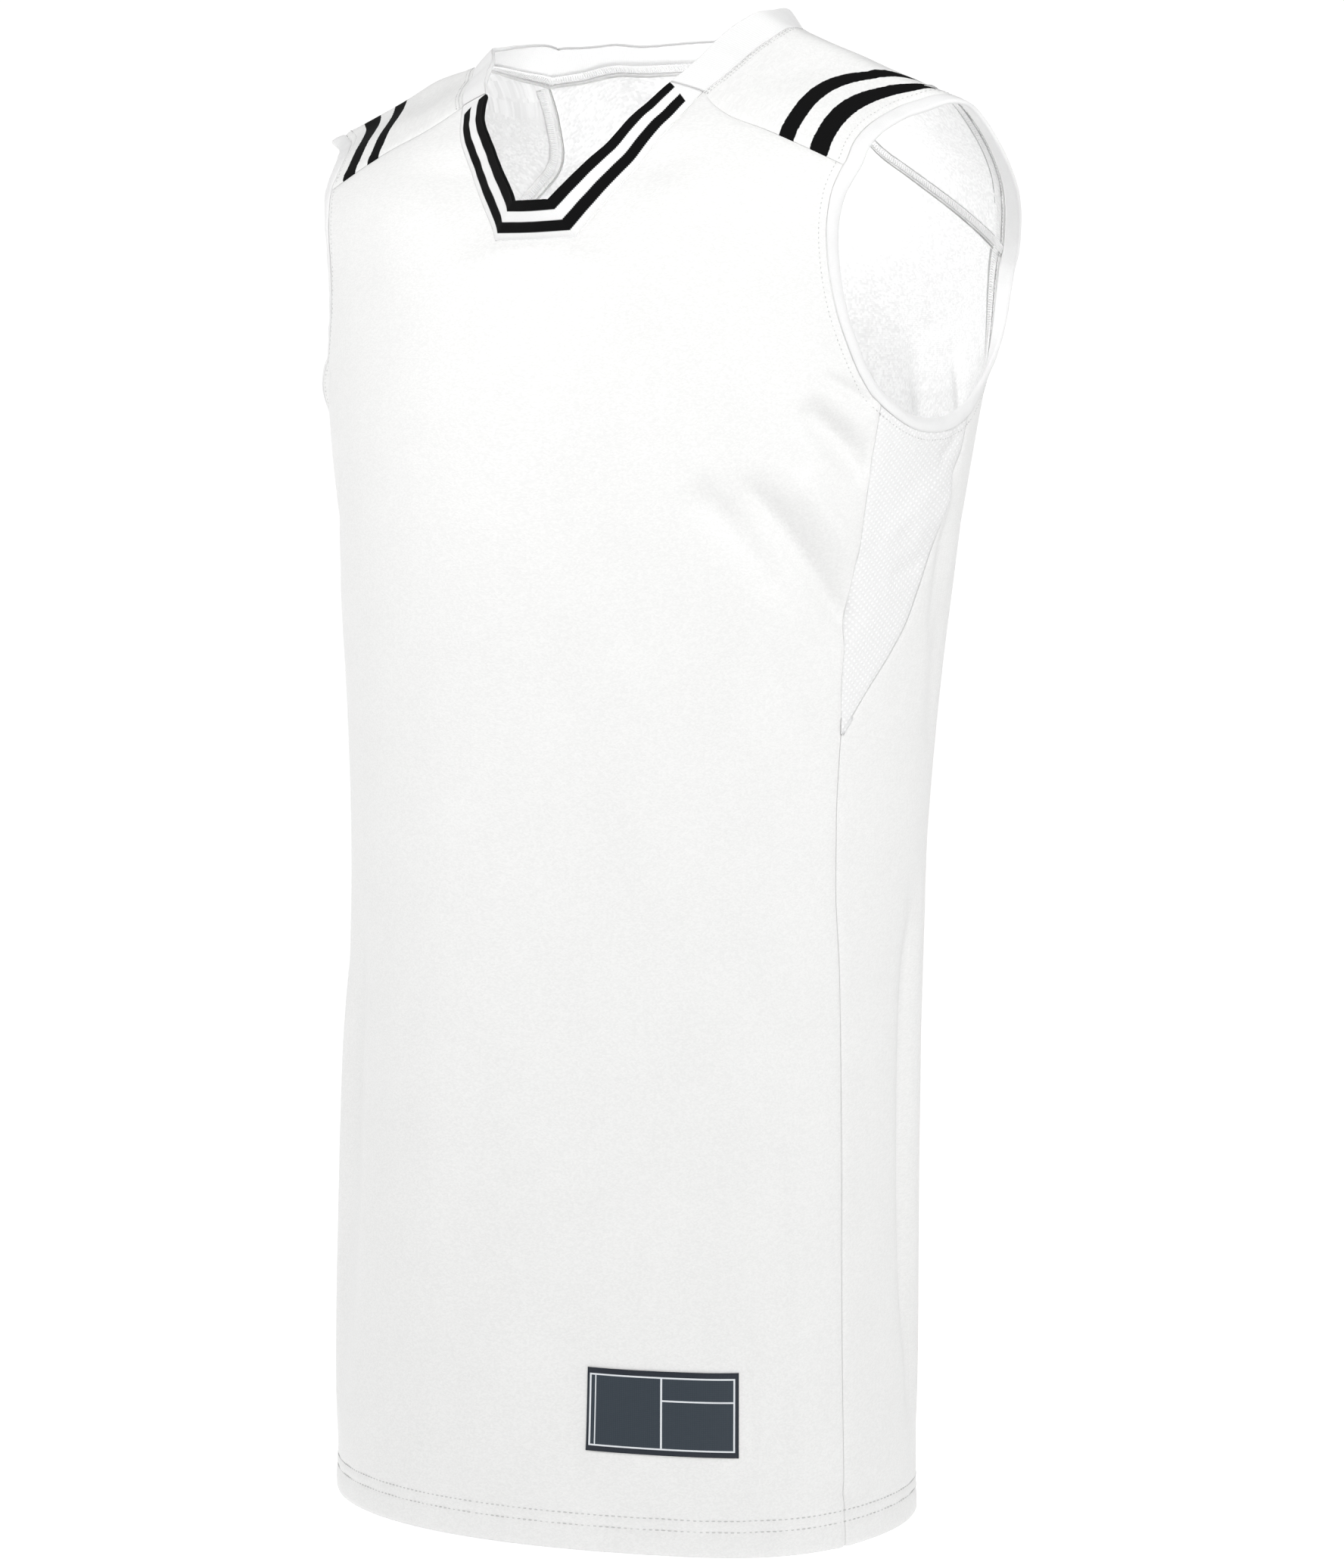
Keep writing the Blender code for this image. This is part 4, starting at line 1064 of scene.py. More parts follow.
@dataclass(frozen=True)
class CollarKnit(Finish):
    """Flat white rib knit, with black stripes at shares of its width from the free edge.

    The stripes start where the distance from the end of the band passes slant times the share.
    """

    roughness: float = 0.82
    specular: float = 0.12
    stripes: tuple = ()
    ink: tuple = INK
    pitch: float = 0.0012
    slant: float = 0.0105
    soft: float = 0.008

    def paint(self, sheet: NodeSheet) -> None:
        """Ribs run across the band, and ink lies inside each stripe."""
        band = sheet.uv("Band")
        along, across = sheet.split(band)
        ribs = sheet.math("SINE", sheet.times(along, 2 * math.pi / self.pitch))
        lit = sheet.ranged(ribs, -1.0, 1.0, self.tone - 0.014, self.tone + 0.004)
        grain = sheet.cloud(sheet.noise(sheet.scaled(band, 900.0, 20.0), 1.0, 2.0), -0.012, 0.012)
        colour = sheet.grey(sheet.plus(lit, grain))
        if self.stripes:
            stairs = sheet.plus(across, sheet.times(ribs, self.soft))
            ends, _ = sheet.split(sheet.uv("Ends"))
            begun = sheet.math("SUBTRACT", ends, sheet.times(across, self.slant))
            begun = sheet.ranged(begun, 0.0002, 0.0006, 0.0, 1.0)
            mask = sheet.times(sheet.any_band(stairs, self.stripes, self.soft), begun)
            colour = sheet.mix(mask, colour, self.ink)
        sheet.set(Base_Color=colour, Normal=sheet.bump(ribs, 0.16, 0.00018))


@dataclass(frozen=True)
class BindingSatin(Finish):
    """Narrow folded binding of the same satin, with a fine twill across its width."""

    grain: tuple = (1.0 / 0.0009, 14.0)

    def paint(self, sheet: NodeSheet) -> None:
        """Fine cells over soft wrinkles, both in the tone and as bump."""
        band = sheet.uv("Band")
        _, apart = sheet.cells(sheet.scaled(band, *self.grain), 0.9)
        wrinkles = sheet.noise(sheet.scaled(band, 90.0, 2.0), 1.0, 3.0)
        lit = sheet.ranged(apart, 0.0, 0.9, self.tone, self.tone - 0.02)
        value = sheet.plus(lit, sheet.cloud(wrinkles, -0.010, 0.008))
        folds = sheet.bump(wrinkles, 0.25, 0.0008)
        sheet.set(Base_Color=sheet.grey(value), Normal=sheet.bump(apart, 0.2, 0.0002, folds))


@dataclass(frozen=True)
class Thread(Finish):
    """Twisted sewing thread."""

    specular: float = 0.35

    def paint(self, sheet: NodeSheet) -> None:
        """A slanting wave gives the twist."""
        twist = sheet.wave(sheet.place(), "DIAGONAL", 700.0, 1.5)
        value = sheet.ranged(twist, 0.0, 1.0, self.tone - 0.05, self.tone + 0.03)
        sheet.set(Base_Color=sheet.grey(value), Normal=sheet.bump(twist, 0.3, 0.0001))


@dataclass(frozen=True)
class WovenLabel(Finish):
    """Slate blue woven label with plain white frame lines; its cells are left bare."""

    roughness: float = 0.52
    ground: tuple = (0.018, 0.029, 0.042, 1.0)
    raised: tuple = (0.034, 0.049, 0.064, 1.0)
    border: tuple = (0.008, 0.013, 0.022, 1.0)
    line: tuple = (0.72, 0.75, 0.78, 1.0)
    frame: tuple = ((0.024, 0.967), (0.075, 0.925))
    column: float = 0.485
    shelf: float = 0.652
    spine: float = 0.058
    half: tuple = (0.0060, 0.0095)
    soft: float = 0.001

    def area(self, sheet: NodeSheet, u: Socket, v: Socket, grown: float) -> Socket:
        """1 inside the frame, grown on all sides by so many half widths of its line."""
        (left, right), (low, high) = self.frame
        thin, flat = (grown * each for each in self.half)
        across = sheet.band(u, left - thin, right + thin, self.soft)
        return sheet.times(across, sheet.band(v, low - flat, high + flat, self.soft))

    def paint(self, sheet: NodeSheet) -> None:
        """Thin bands of the label's own width and height draw its lines on a plain weave."""
        face = sheet.uv("Face")
        u, v = sheet.split(face)
        thin, flat = self.half
        within, hollow = self.area(sheet, u, v, 1.0), self.area(sheet, u, v, -1.0)
        upright = ((self.column - thin, self.column + thin), (self.spine - 0.6 * thin, self.spine + 0.6 * thin))
        beyond = sheet.ranged(u, self.column - 0.002, self.column, 0.0, 1.0)
        shelf = sheet.times(sheet.band(v, self.shelf - flat, self.shelf + flat, self.soft), beyond)
        bars = sheet.math("MAXIMUM", sheet.any_band(u, upright, self.soft), shelf)
        outline = sheet.math("SUBTRACT", within, hollow)
        lines = sheet.math("MAXIMUM", outline, sheet.times(bars, hollow))
        weft = sheet.wave(sheet.scaled(face, 20.0, 22.0), "Y", 1.0, 0.6)
        warp = sheet.wave(sheet.scaled(face, 26.0, 20.0), "X", 1.0, 0.4)
        weave = sheet.times(weft, warp)
        tint = sheet.mix(within, self.border, sheet.mix(weave, self.ground, self.raised))
        relief = sheet.plus(weave, sheet.times(lines, 1.6))
        sheet.set(Base_Color=sheet.mix(lines, tint, self.line), Normal=sheet.bump(relief, 0.35, 0.00025))


@dataclass(frozen=True)
class FloorPaper(Finish):
    """Pale seamless paper with the faintest mottling; an emission glow on it is painted light, brighter behind the
    jersey, and lights the jersey from below.
    """

    tone: float = 0.86
    roughness: float = 0.95
    specular: float = 0.1
    painted_glow: tuple = (0.575, 0.70)
    behind: tuple = (-0.567, 0.824, 0.0)

    def paint(self, sheet: NodeSheet) -> None:
        """The painted glow grows from painted_glow[0] to painted_glow[1] as the floor runs back: a pool of painted
        light behind the jersey.
        """
        place = sheet.place()
        value = sheet.cloud(sheet.noise(place, 3.0, 2.0, flat=False), self.tone - 0.004, self.tone + 0.004)
        # painted light: the floor glows by emission, brighter behind the jersey, and lights it from below
        lit = sheet.ranged(sheet.dot(place, self.behind), -0.1, 0.45, *self.painted_glow)
        sheet.set(Base_Color=sheet.grey(value), Emission_Color=WHITE, Emission_Strength=lit)


def once(finish: Finish, name: str) -> object:
    """A dataclass field whose material is made when its owner is."""
    return field(default_factory=lambda: finish.make(name))


@dataclass
class Wardrobe:
    """Every finish, made once."""

    satin: Material = once(DazzleSatin(), "white_dazzle_satin")
    striped: Material = once(StripedSatin(), "striped_dazzle_satin")
    reverse: Material = once(SatinReverse(), "satin_reverse")
    mesh: Material = once(PinDotMesh(), "pin_dot_mesh")
    binding: Material = once(BindingSatin(), "folded_binding")
    collar_striped: Material = once(CollarKnit(stripes=((-0.2, 0.26), (0.53, 0.82))), "striped_collar_knit")
    collar_plain: Material = once(CollarKnit(), "plain_collar_knit")
    # the white thread is toned down to grey as painted shade: the shadow round its stitches
    thread: Material = once(Thread(0.58), "white_thread_painted_grey")
    overlock: Material = once(Thread(0.92), "overlock_thread")
    turned: Material = once(Thread(0.84, 0.8), "turned_allowance")
    # allowance: the dark edge ribbon beside an overlocked seam, the allowance's edge painted dark as the shadow under
    # it
    allowance: Material = once(Thread(0.46, 0.8), "allowance_edge_painted_shadow")
    label: Material = once(WovenLabel(), "woven_label")


# ---- pieces ----
def dress(piece: Piece, slot: str, *nodes: str) -> Piece:
    """Lets a piece ride on the body and puts it in its nodes' place."""
    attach(piece, "root")
    if nodes:
        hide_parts(*nodes)
    LOG.info("%s: %d faces", piece.name, len(piece.data.polygons))
    return piece


@dataclass
class PanelMaker:
    """Shared making of the pieces that are cut from satin or mesh.

    edges gives, for the bottom, top, left and right of a grid, its line, the next line in,
    and the axis that they are counted on.
    """

    pattern: Pattern
    wardrobe: Wardrobe
    seam: SeamDraw = field(default_factory=SeamDraw)
    middle: tuple = (0.0, 0.0, -0.35)
    edges: tuple = (("b", 0, 1, 0), ("t", -1, -2, 0), ("l", 0, 1, 1), ("r", -1, -2, 1))

    def sewn(self, points: Array, drawn: str, parted: str, phase: float) -> Array:
        """Draws the cloth in along its seams and parts it from its neighbours.

        Args:
            points: grid of the outer face.
            drawn: the sides with a seam, any of l, r, b and t.
            parted: the sides moved in by half of a seam's gap.
            phase: shifts the puckers.

        Returns:
            The grid, moved along its own normals by the nearest seam's height, and each vertex
            of a parted side moved towards the next one in.
        """
        lines = {side: points.swapaxes(0, axis)[edge] for side, edge, _, axis in self.edges}
        distance, along = (np.stack(each) for each in zip(*(nearest_on(points, lines[side]) for side in drawn)))
        nearest = distance.argmin(0)
        along = np.take_along_axis(along, nearest[None], 0)[0]
        normals, _ = grid_normals(points, points.reshape(-1, 3).mean(0) * (0.3, 0.0, 1.0))
        points = points + normals * self.seam.height(distance.min(0), along + nearest * 0.37, phase)[..., None]
        moved = points.copy()
        for side, edge, inner, axis in self.edges:
            if side in parted:
                whole = points.swapaxes(0, axis)
                moved.swapaxes(0, axis)[edge] += SEAM_GAP / 2 * unit(whole[inner] - whole[edge])
        return moved

    def hem_relief(self, theta: Array, above: Array) -> Array:
        """Height of the hem's outer face: two stitched dents, a soft swell below them, and slack waves.

        Args:
            theta: angle round the body.
            above: height above the hem's edge.

        Returns:
            The sum of Gaussians across the hem, of which the slack one carries a sine along
            it, less a rounded fall over the last 1.6 mm.
        """
        dents = sum(np.exp(-(((above - row) / 0.0011) ** 2)) for row in HEM_ROWS)
        swell = np.exp(-(((above - 0.0055) / 0.0050) ** 2))
        along = theta * METRES_PER_DEGREE
        waves = np.sin(2 * np.pi * along / 0.021 + 3.0 * np.sin(along / 0.034))
        slack = waves * np.exp(-(((above - 0.012) / 0.010) ** 2))
        roll = np.clip(1.0 - above / 0.0016, 0.0, 1.0) ** 2
        return -0.00032 * dents + 0.00035 * swell + 0.00022 * slack - 0.0007 * roll

    def body_panel(self, node: str, left: Array, right: Array, top: Array, phase: float) -> Piece:
        """A panel from the hem to its upper seams, with the hem turned up.

        Args:
            node: the solid whose place it takes.
            left, right: places up both sides from the hem.
            top: places over the top, from left to right.
            phase: shifts the puckers.

        Returns:
            The object. Its wall is thicker in the hem, with a step where the turning ends.
        """
        p, start, stop = self.pattern, left[0, 0], right[0, 0]
        length = abs(stop - start) * METRES_PER_DEGREE
        share = p.stops(length, len(top) - 1, TIGHT, TIGHT) / length
        hem = paired(start + (stop - start) * share, math.sqrt(p.form.hem_drop))
        theta, level = np.moveaxis(p.coons(hem, top, left, right), -1, 0)
        above = p.form.hem_drop - level**2
        points = p.cloth(theta, level) + p.form.outward(theta, level) * self.hem_relief(theta, above)[..., None]
        wall = PANEL_WALL + (HEM_WALL - PANEL_WALL) * (1.0 - step(HEM_DEPTH, HEM_DEPTH + 0.0022, above))
        shell = ClothShell(self.sewn(points, "lrt", "tlr", phase), wall, {"Cut": p.cut_uv(theta, level)}, self.middle)
        return dress(shell.build(f"{node}_cloth", [self.wardrobe.satin, self.wardrobe.reverse]), "satin", node)


@dataclass
class FrontPanel(PanelMaker):
    """The front, from hem to yokes, cut out for the V of the neck."""

    rows: tuple = (118, 46, 48)
    columns: tuple = (32, 36, 12)

    def build(self) -> Piece:
        """Makes the panel between the side seams, gussets, armholes, yokes and the V."""
        p = self.pattern
        side = p.line(p.side_seam, self.rows[0], TURNED)
        gusset = p.line(p.gusset_front, self.rows[1])
        arm = p.line(p.armhole, self.rows[2], TIGHT, between=(p.at_yoke_front, p.at_gusset_front))
        yoke = p.line(p.yoke_front, self.columns[0], last=TIGHT)[::-1]
        v_side, v_flat = p.line(p.v_side, self.columns[1]), p.line(p.v_flat, self.columns[2])
        left = joined(side, gusset, arm[::-1])
        top = joined(yoke, v_side, v_flat, other_side(v_side), other_side(yoke))
        return self.body_panel("front_panel", left, left * (-1.0, 1.0), top, 0.7)


@dataclass
class BackPanel(PanelMaker):
    """The back, from hem to the neck, which also wraps forward round both sides below the gussets."""

    rows: tuple = (112, 52, 32, 30)
    columns: int = 70

    def build(self) -> Piece:
        """Makes the panel between the side seams, gussets, armholes, yokes and the back of the neck."""
        p = self.pattern
        side = p.line(p.side_seam, self.rows[0], TURNED)
        gusset = p.line(p.gusset_rear, self.rows[1])
        arm = p.line(p.armhole, self.rows[2], between=(p.at_gusset_rear, p.at_yoke_back))
        yoke = p.line(p.yoke_back, self.rows[3], TIGHT)
        neck = p.line(p.neck_back, self.columns, TIGHT)
        left = joined(side, gusset, arm, yoke[::-1])
        right = np.array((360.0, 0.0)) + left * (-1.0, 1.0)
        return self.body_panel("back_panel", left, right, joined(neck, other_side(neck, 360.0)), 2.1)


@dataclass
class Yoke(PanelMaker):
    """One shoulder yoke, striped along the armhole.

    drawn gives, at distances along the armhole seam, how many times closer to it the stripes
    run than at the front seam: the cloth pulls them together over the top of the shoulder.
    pull is how much of that each side has.
    """

    side: Side = Side.LEFT
    rows: int = 96
    columns: int = 52
    drawn: tuple = (
        (0.0, 0.016, 0.036, 0.042, 0.048, 0.054, 0.062, 0.080, 0.100, 0.130, 0.200),
        (1.00, 0.98, 0.96, 1.03, 1.21, 1.47, 1.72, 1.80, 1.50, 1.10, 1.00),
    )
    pull: dict = field(default_factory=lambda: {Side.LEFT: 1.0, Side.RIGHT: -0.2})

    def build(self) -> Piece:
        """Makes the yoke between the armhole, the neck, and its front and back seams."""
        p, turn, node = self.pattern, self.side.value, self.side.named("yoke")
        lower, back = (p.line(table, self.columns, TIGHT, TIGHT)[::-1] for table in (p.yoke_front, p.yoke_back))
        neck = p.line(p.neck_side, self.rows, TIGHT, TIGHT, on_sheet=True)
        column, level = np.moveaxis(p.coons(lower, (180.0, 0.0) - back, p.over_shoulder(self.rows), neck), -1, 0)
        smooth = p.form.sheet(turn * column, level)
        aside, along = nearest_on(smooth, smooth[:, 0])
        closer = 1.0 + self.pull[self.side] * (spline(*self.drawn, along) - 1.0)
        uv = {"Cut": paired(aside, along), "Yoke": paired(aside * closer, along)}
        points = self.sewn(p.yoke_cloth(turn * column, level), "lrbt", "btlr", 1.3 + turn)
        made = ClothShell(points, PANEL_WALL, uv, (turn * 0.13, 0.0, -0.12))
        return dress(made.build(f"{node}_cloth", [self.wardrobe.striped, self.wardrobe.reverse]), "yoke", node)


@dataclass
class SideGusset(PanelMaker):
    """The pointed mesh gusset under one arm."""

    side: Side = Side.LEFT
    rows: int = 72
    columns: int = 36
    blunted: float = 0.25

    def build(self) -> Piece:
        """Makes the gusset from its point, blunted by part of a face, up to the armhole."""
        p, turn, node = self.pattern, self.side.value, self.side.named("side_gusset")
        front, rear = (p.line(table, self.rows, last=TIGHT) for table in (p.gusset_front, p.gusset_rear))
        under = p.line(p.armhole, self.columns, TIGHT, TIGHT, between=(p.at_gusset_front, p.at_gusset_rear))
        for each in (front, rear):
            each[0] += self.blunted * (each[1] - each[0])
        share = measured(under * (METRES_PER_DEGREE, 1.0))
        tip = front[0] + (rear[0] - front[0]) * (share / share[-1])[:, None]
        theta, level = np.moveaxis(p.coons(tip, under, front, rear) * (turn, 1.0), -1, 0)
        points = self.sewn(p.cloth(theta, level), "lrt", "btlr", 0.4 + turn)
        made = ClothShell(points, PANEL_WALL, {"Cut": p.cut_uv(theta, level)}, (0.0, 0.0, -0.25), bulge=0.0001)
        return dress(made.build(f"{node}_cloth", [self.wardrobe.mesh, self.wardrobe.mesh]), "mesh", node)


@dataclass
class ArmholeBinding:
    """The folded binding round one armhole, which rolls into it in front and stands off the form behind."""

    pattern: Pattern
    wardrobe: Wardrobe
    side: Side = Side.LEFT
    around: int = 360
    across: int = 12
    bends: int = 24
    soft: int = 6
    edge: float = 0.0004

    def angles_on_top(self, level: Array) -> Array:
        """The table's flare and roll beside the yoke, read by level, in degrees."""
        table = np.array(self.pattern.armhole)
        behind, ahead = table[self.pattern.at_yoke_back :], table[1 : self.pattern.at_yoke_front + 1]
        levels = np.concatenate((-np.sqrt(behind[:, 1]), np.sqrt(ahead[:, 1])))
        return read_along(level, levels, np.concatenate((behind, ahead))[:, 2:])

    def seam(self) -> tuple:
        """The armhole seam as a closed loop.

        Returns:
            (points, stands, facing, roll): places of the seam, the direction in which the band
            leaves it, the outward direction square to that, and the roll in radians.
        """
        p, turn = self.pattern, self.side.value
        table = np.array(p.armhole)
        table[:, 1] = np.sqrt(table[:, 1])
        fine = np.linspace(0, len(table) - 1, 1400)
        fine = fine[(fine > p.at_yoke_front) & (fine < p.at_yoke_back)]
        theta, level, flare, roll = (spline(np.arange(len(table)), each, fine) for each in table.T)
        theta = turn * theta
        top = p.over_shoulder(400)[::-1]
        column = turn * top[:, 0]
        on_top = np.hstack((p.form.sheet(column, top[:, 1]), p.form.outward(column, top[:, 1], p.form.sheet)))
        below = np.hstack((p.cloth(theta, level, False), p.form.outward(theta, level)))
        angles = np.concatenate((self.angles_on_top(top[:, 1]), np.stack((flare, roll), -1)))
        whole = np.hstack((np.concatenate((on_top, below)), angles))
        whole = np.concatenate((whole, whole[:1]))
        far = measured(whole[:, :3])
        whole = read_along(np.linspace(0.0, far[-1], self.around, endpoint=False), far, whole)
        loop, normals = whole[:, :3], unit(whole[:, 3:6])
        flare, roll = np.radians(whole[:, 6:]).T
        square = unit(np.cross(normals, np.roll(loop, -1, 0) - np.roll(loop, 1, 0)))
        square *= np.sign((square * (loop.mean(0) - loop)).sum(1).mean())
        stands = np.cos(flare)[:, None] * square + np.sin(flare)[:, None] * normals
        kernel = np.exp(-(np.linspace(-2.0, 2.0, 2 * self.soft + 1) ** 2))
        wrapped = np.concatenate((stands[-self.soft :], stands, stands[: self.soft]))
        stands = unit(np.stack([np.convolve(each, kernel, "valid") for each in wrapped.T], -1))
        return loop, stands, square_to(normals, stands), roll

    def section(self) -> tuple:
        """The band's section: a flat outer face, a round free edge and a flat inner face.

        Returns:
            (reach, depth): how far each corner lies from the seam, and how far behind the face.
        """
        radius = BAND_WALL / 2
        flat = np.linspace(0.00012, BINDING_WIDTH - radius, self.across)
        arc = np.linspace(0.5 * np.pi, -0.5 * np.pi, 9)[1:-1]
        reach = np.concatenate((flat, BINDING_WIDTH - radius + radius * np.cos(arc), flat[::-1]))
        depth = np.concatenate((np.zeros_like(flat), radius - radius * np.sin(arc), np.full_like(flat, 2 * radius)))
        depth[0], depth[-1] = self.edge, 2 * radius - self.edge
        return reach, depth

    def build(self) -> Piece:
        """Makes the band: its section, bent by the roll and carried round the loop.

        Returns:
            The object. Its middle line is the sum of short steps, each turned from the one
            before by the roll's smooth step, and the wall lies square to it on the inside.
        """
        loop, stands, facing, roll = self.seam()
        reach, depth = self.section()
        loop, stands, facing, roll = loop[:, None], stands[:, None], facing[:, None], roll[:, None]
        fine = np.linspace(0.0, BINDING_WIDTH, self.bends + 1)
        short = fine[1] - fine[0]
        turned = (roll * step(0.0, BINDING_WIDTH, (fine[1:] + fine[:-1]) / 2))[..., None]
        steps = np.cumsum((np.cos(turned) * stands - np.sin(turned) * facing) * short, 1)
        line = np.concatenate((np.zeros_like(loop), steps), 1) + loop
        inner = np.clip(reach, 0.0, BINDING_WIDTH)
        k = np.clip((inner / short).astype(int), 0, len(fine) - 2)
        share = ((inner - fine[k]) / short)[:, None]
        middle = line[:, k] * (1 - share) + line[:, k + 1] * share
        bend = (roll * step(0.0, BINDING_WIDTH, inner))[..., None]
        out = np.cos(bend) * facing + np.sin(bend) * stands
        far = measured(np.concatenate((loop[:, 0], loop[:1, 0])))[:-1, None]
        swell = np.sin(np.pi * np.clip(reach / BINDING_WIDTH, 0.0, 1.0)) ** 0.7
        wave = np.sin(2 * np.pi * far / 0.0165 + 2.0 * np.sin(far / 0.021)) * np.sin(2 * np.pi * far / 0.071 + 1.0)
        crown = (0.00025 + 0.00022 * wave) * swell * np.where(depth < BAND_WALL / 2, 1.0, -0.3)
        points = middle + (crown - depth)[..., None] * out
        node, count = self.side.named("armhole_binding"), len(reach)
        faces = grid_faces(self.around, count, closed=True, looped=True)
        made = new_mesh_object(f"{node}_cloth", points.reshape(-1, 3), faces, [self.wardrobe.binding])
        set_uv(made, "Band", paired(far, np.arange(count) / count).reshape(-1, 2))
        fix_outward(made)
        return dress(made, "binding", node)


@dataclass
class Collar:
    """The band round the neck: a striped part along the V and a plain standing part round the back.

    Each row of stands is a landmark (0 the middle of the V, 1 its corner, 2 the front seam of
    the yoke, 3 the top of the shoulder, 4 the back seam of the yoke, 5 the middle of the
    back) and the free edge measured from the seam: inward, rearward and up.
    """

    pattern: Pattern
    wardrobe: Wardrobe
    stands: tuple = (
        (0.0, 0.0, -0.004, 0.0186), (1.0, 0.0138, -0.004, 0.0186), (2.0, 0.0174, -0.0032, 0.0054),
        (2.5, 0.0158, -0.0034, 0.0092), (3.0, 0.0122, -0.0034, 0.009), (4.0, 0.0085, -0.0045, 0.019),
        (4.5, 0.004, -0.0062, 0.0146), (5.0, 0.0, -0.007, 0.015),
    )
    across: tuple = (0.0, 0.03, 0.07, 0.12, 0.2, 0.3, 0.4, 0.5, 0.6, 0.7, 0.8, 0.87, 0.93, 0.97, 1.0)
    draw: float = 0.0005
    bulge: float = 0.0007

    def band(self, seam_line: Array, landmark: Array) -> Array:
        """Grid from the seam to the free edge: the landmarks' offsets, shared out evenly."""
        table = np.array(self.stands)
        straight = read_along(landmark, table[:3, 0], table[:3, 1:])
        curved = np.stack([spline(table[2:, 0], table[2:, k], landmark) for k in (1, 2, 3)], -1)
        stands = np.where(landmark[:, None] < 2.0, straight, curved)
        stands[:, 0] *= -np.sign(seam_line[:, 0])
        return seam_line + stands * np.array(self.across)[:, None, None]

    def finished(self, node: str, points: Array, inside: tuple, material: Material) -> Piece:
        """Gives the band its wall, its crown and its UV map of metres along and share across from the free edge.

        Args:
            node: the solid whose place it takes.
            points: grid from the seam to the free edge.
            inside: a point on the side that faces the neck.
            material: its finish.

        Returns:
            The object, in that solid's place.
        """
        normals, _ = grid_normals(points, inside)
        share = np.array(self.across)[:, None]
        groove = -self.draw * np.clip(1.0 - share / 0.10, 0.0, 1.0) ** 2 + 0.0003 * np.sin(np.pi * share) ** 0.8
        along = measured(points[0])
        slack = 0.00015 * np.sin(2 * np.pi * along / 0.013 + 1.5 * np.sin(along / 0.017)) * np.sin(np.pi * share)
        moved = points + normals * (groove + slack)[..., None]
        for end, inner in ((0, 1), (-1, -2)):
            moved[:, end] += SEAM_GAP * unit(points[:, inner] - points[:, end])
        from_end = np.minimum(along, along[-1] - along)
        uv = {"Band": paired(along, 1.0 - share), "Ends": paired(from_end, 1.0 - share)}
        shell = ClothShell(moved, BAND_WALL, uv, inside, self.bulge)
        return dress(shell.build(f"{node}_knit", [material, self.wardrobe.collar_plain]), node, node)

    def build_front(self) -> Piece:
        """The striped part along both sides and the flat bottom of the V."""
        p = self.pattern
        v_side, v_flat = p.line(p.v_side, 46), p.line(p.v_flat, 22)
        places = joined(v_side, v_flat, other_side(v_side))
        share = measured(p.form.ring(*v_side.T))
        down = 2.0 - share / share[-1]
        landmark = joined(down, np.abs(v_flat[:, 0]) / p.v_flat[0][0], down[::-1])
        points = self.band(p.cloth(*places.T, False), landmark)
        return self.finished("collar_front", points, (0.0, 0.05, -0.12), self.wardrobe.collar_striped)

    def build_back(self) -> Piece:
        """The plain part that stands over both shoulders and round the back of the neck."""
        p, mirror = self.pattern, (-1.0, 1.0)
        neck_side, neck_back = p.line(p.neck_side, 70, on_sheet=True), p.line(p.neck_back, 44)
        beside, behind = p.form.sheet(*neck_side.T), p.form.ring(*neck_back.T)
        far_behind, far_beside = p.form.ring(*(neck_back[::-1] * mirror).T), p.form.sheet(*(neck_side[::-1] * mirror).T)
        level, share = neck_side[:, 1], measured(behind)
        side_marks = 3.0 + np.where(level > 0, -level / p.neck_side[0][1], level / p.neck_side[-1][1])
        half = joined(side_marks, 4.0 + share / share[-1])
        points = self.band(joined(beside, behind, far_behind, far_beside), joined(half, half[::-1]))
        return self.finished("collar_back", points, (0.0, 0.0, -0.02), self.wardrobe.collar_plain)


@dataclass
class HemLabel:
    """The woven label sewn on the front just above the hem."""

    pattern: Pattern
    wardrobe: Wardrobe
    corners: tuple = ((21.8, 0.6553), (51.4, 0.6560), (51.6, 0.6966), (22.0, 0.6957))
    faces: tuple = (66, 42)
    size: tuple = (0.070, 0.041)
    clearance: float = 0.00015

    def build(self) -> Piece:
        """Makes the label: a bilinear grid of places between its corners, laid on the cloth, its edge pressed in."""
        p = self.pattern
        u = np.linspace(0.0, 1.0, self.faces[0] + 1)[None, :, None]
        v = np.linspace(0.0, 1.0, self.faces[1] + 1)[:, None, None]
        upper_right, upper_left, lower_left, lower_right = np.array(self.corners)
        grid = (1 - v) * ((1 - u) * upper_right + u * upper_left) + v * ((1 - u) * lower_right + u * lower_left)
        theta, level = grid[..., 0], np.sqrt(grid[..., 1])
        u, v = u[..., 0], v[..., 0]
        edge = np.minimum(np.minimum(u, 1 - u) * self.size[0], np.minimum(v, 1 - v) * self.size[1])
        press = 0.0003 * np.exp(-((edge / 0.0012) ** 2)) - 0.0002 * np.exp(-(((edge - 0.0016) / 0.0006) ** 2))
        lift = self.clearance + LABEL_WALL - press
        points = p.cloth(theta, level) + p.form.outward(theta, level) * lift[..., None]
        uv = {"Face": paired(u, 1.0 - v)}
        shell = ClothShell(points, LABEL_WALL, uv, (0.0, 0.0, -0.67), bulge=0.0001)
        return dress(shell.build("hem_label_woven", [self.wardrobe.label, self.wardrobe.label]), "label", "hem_label")


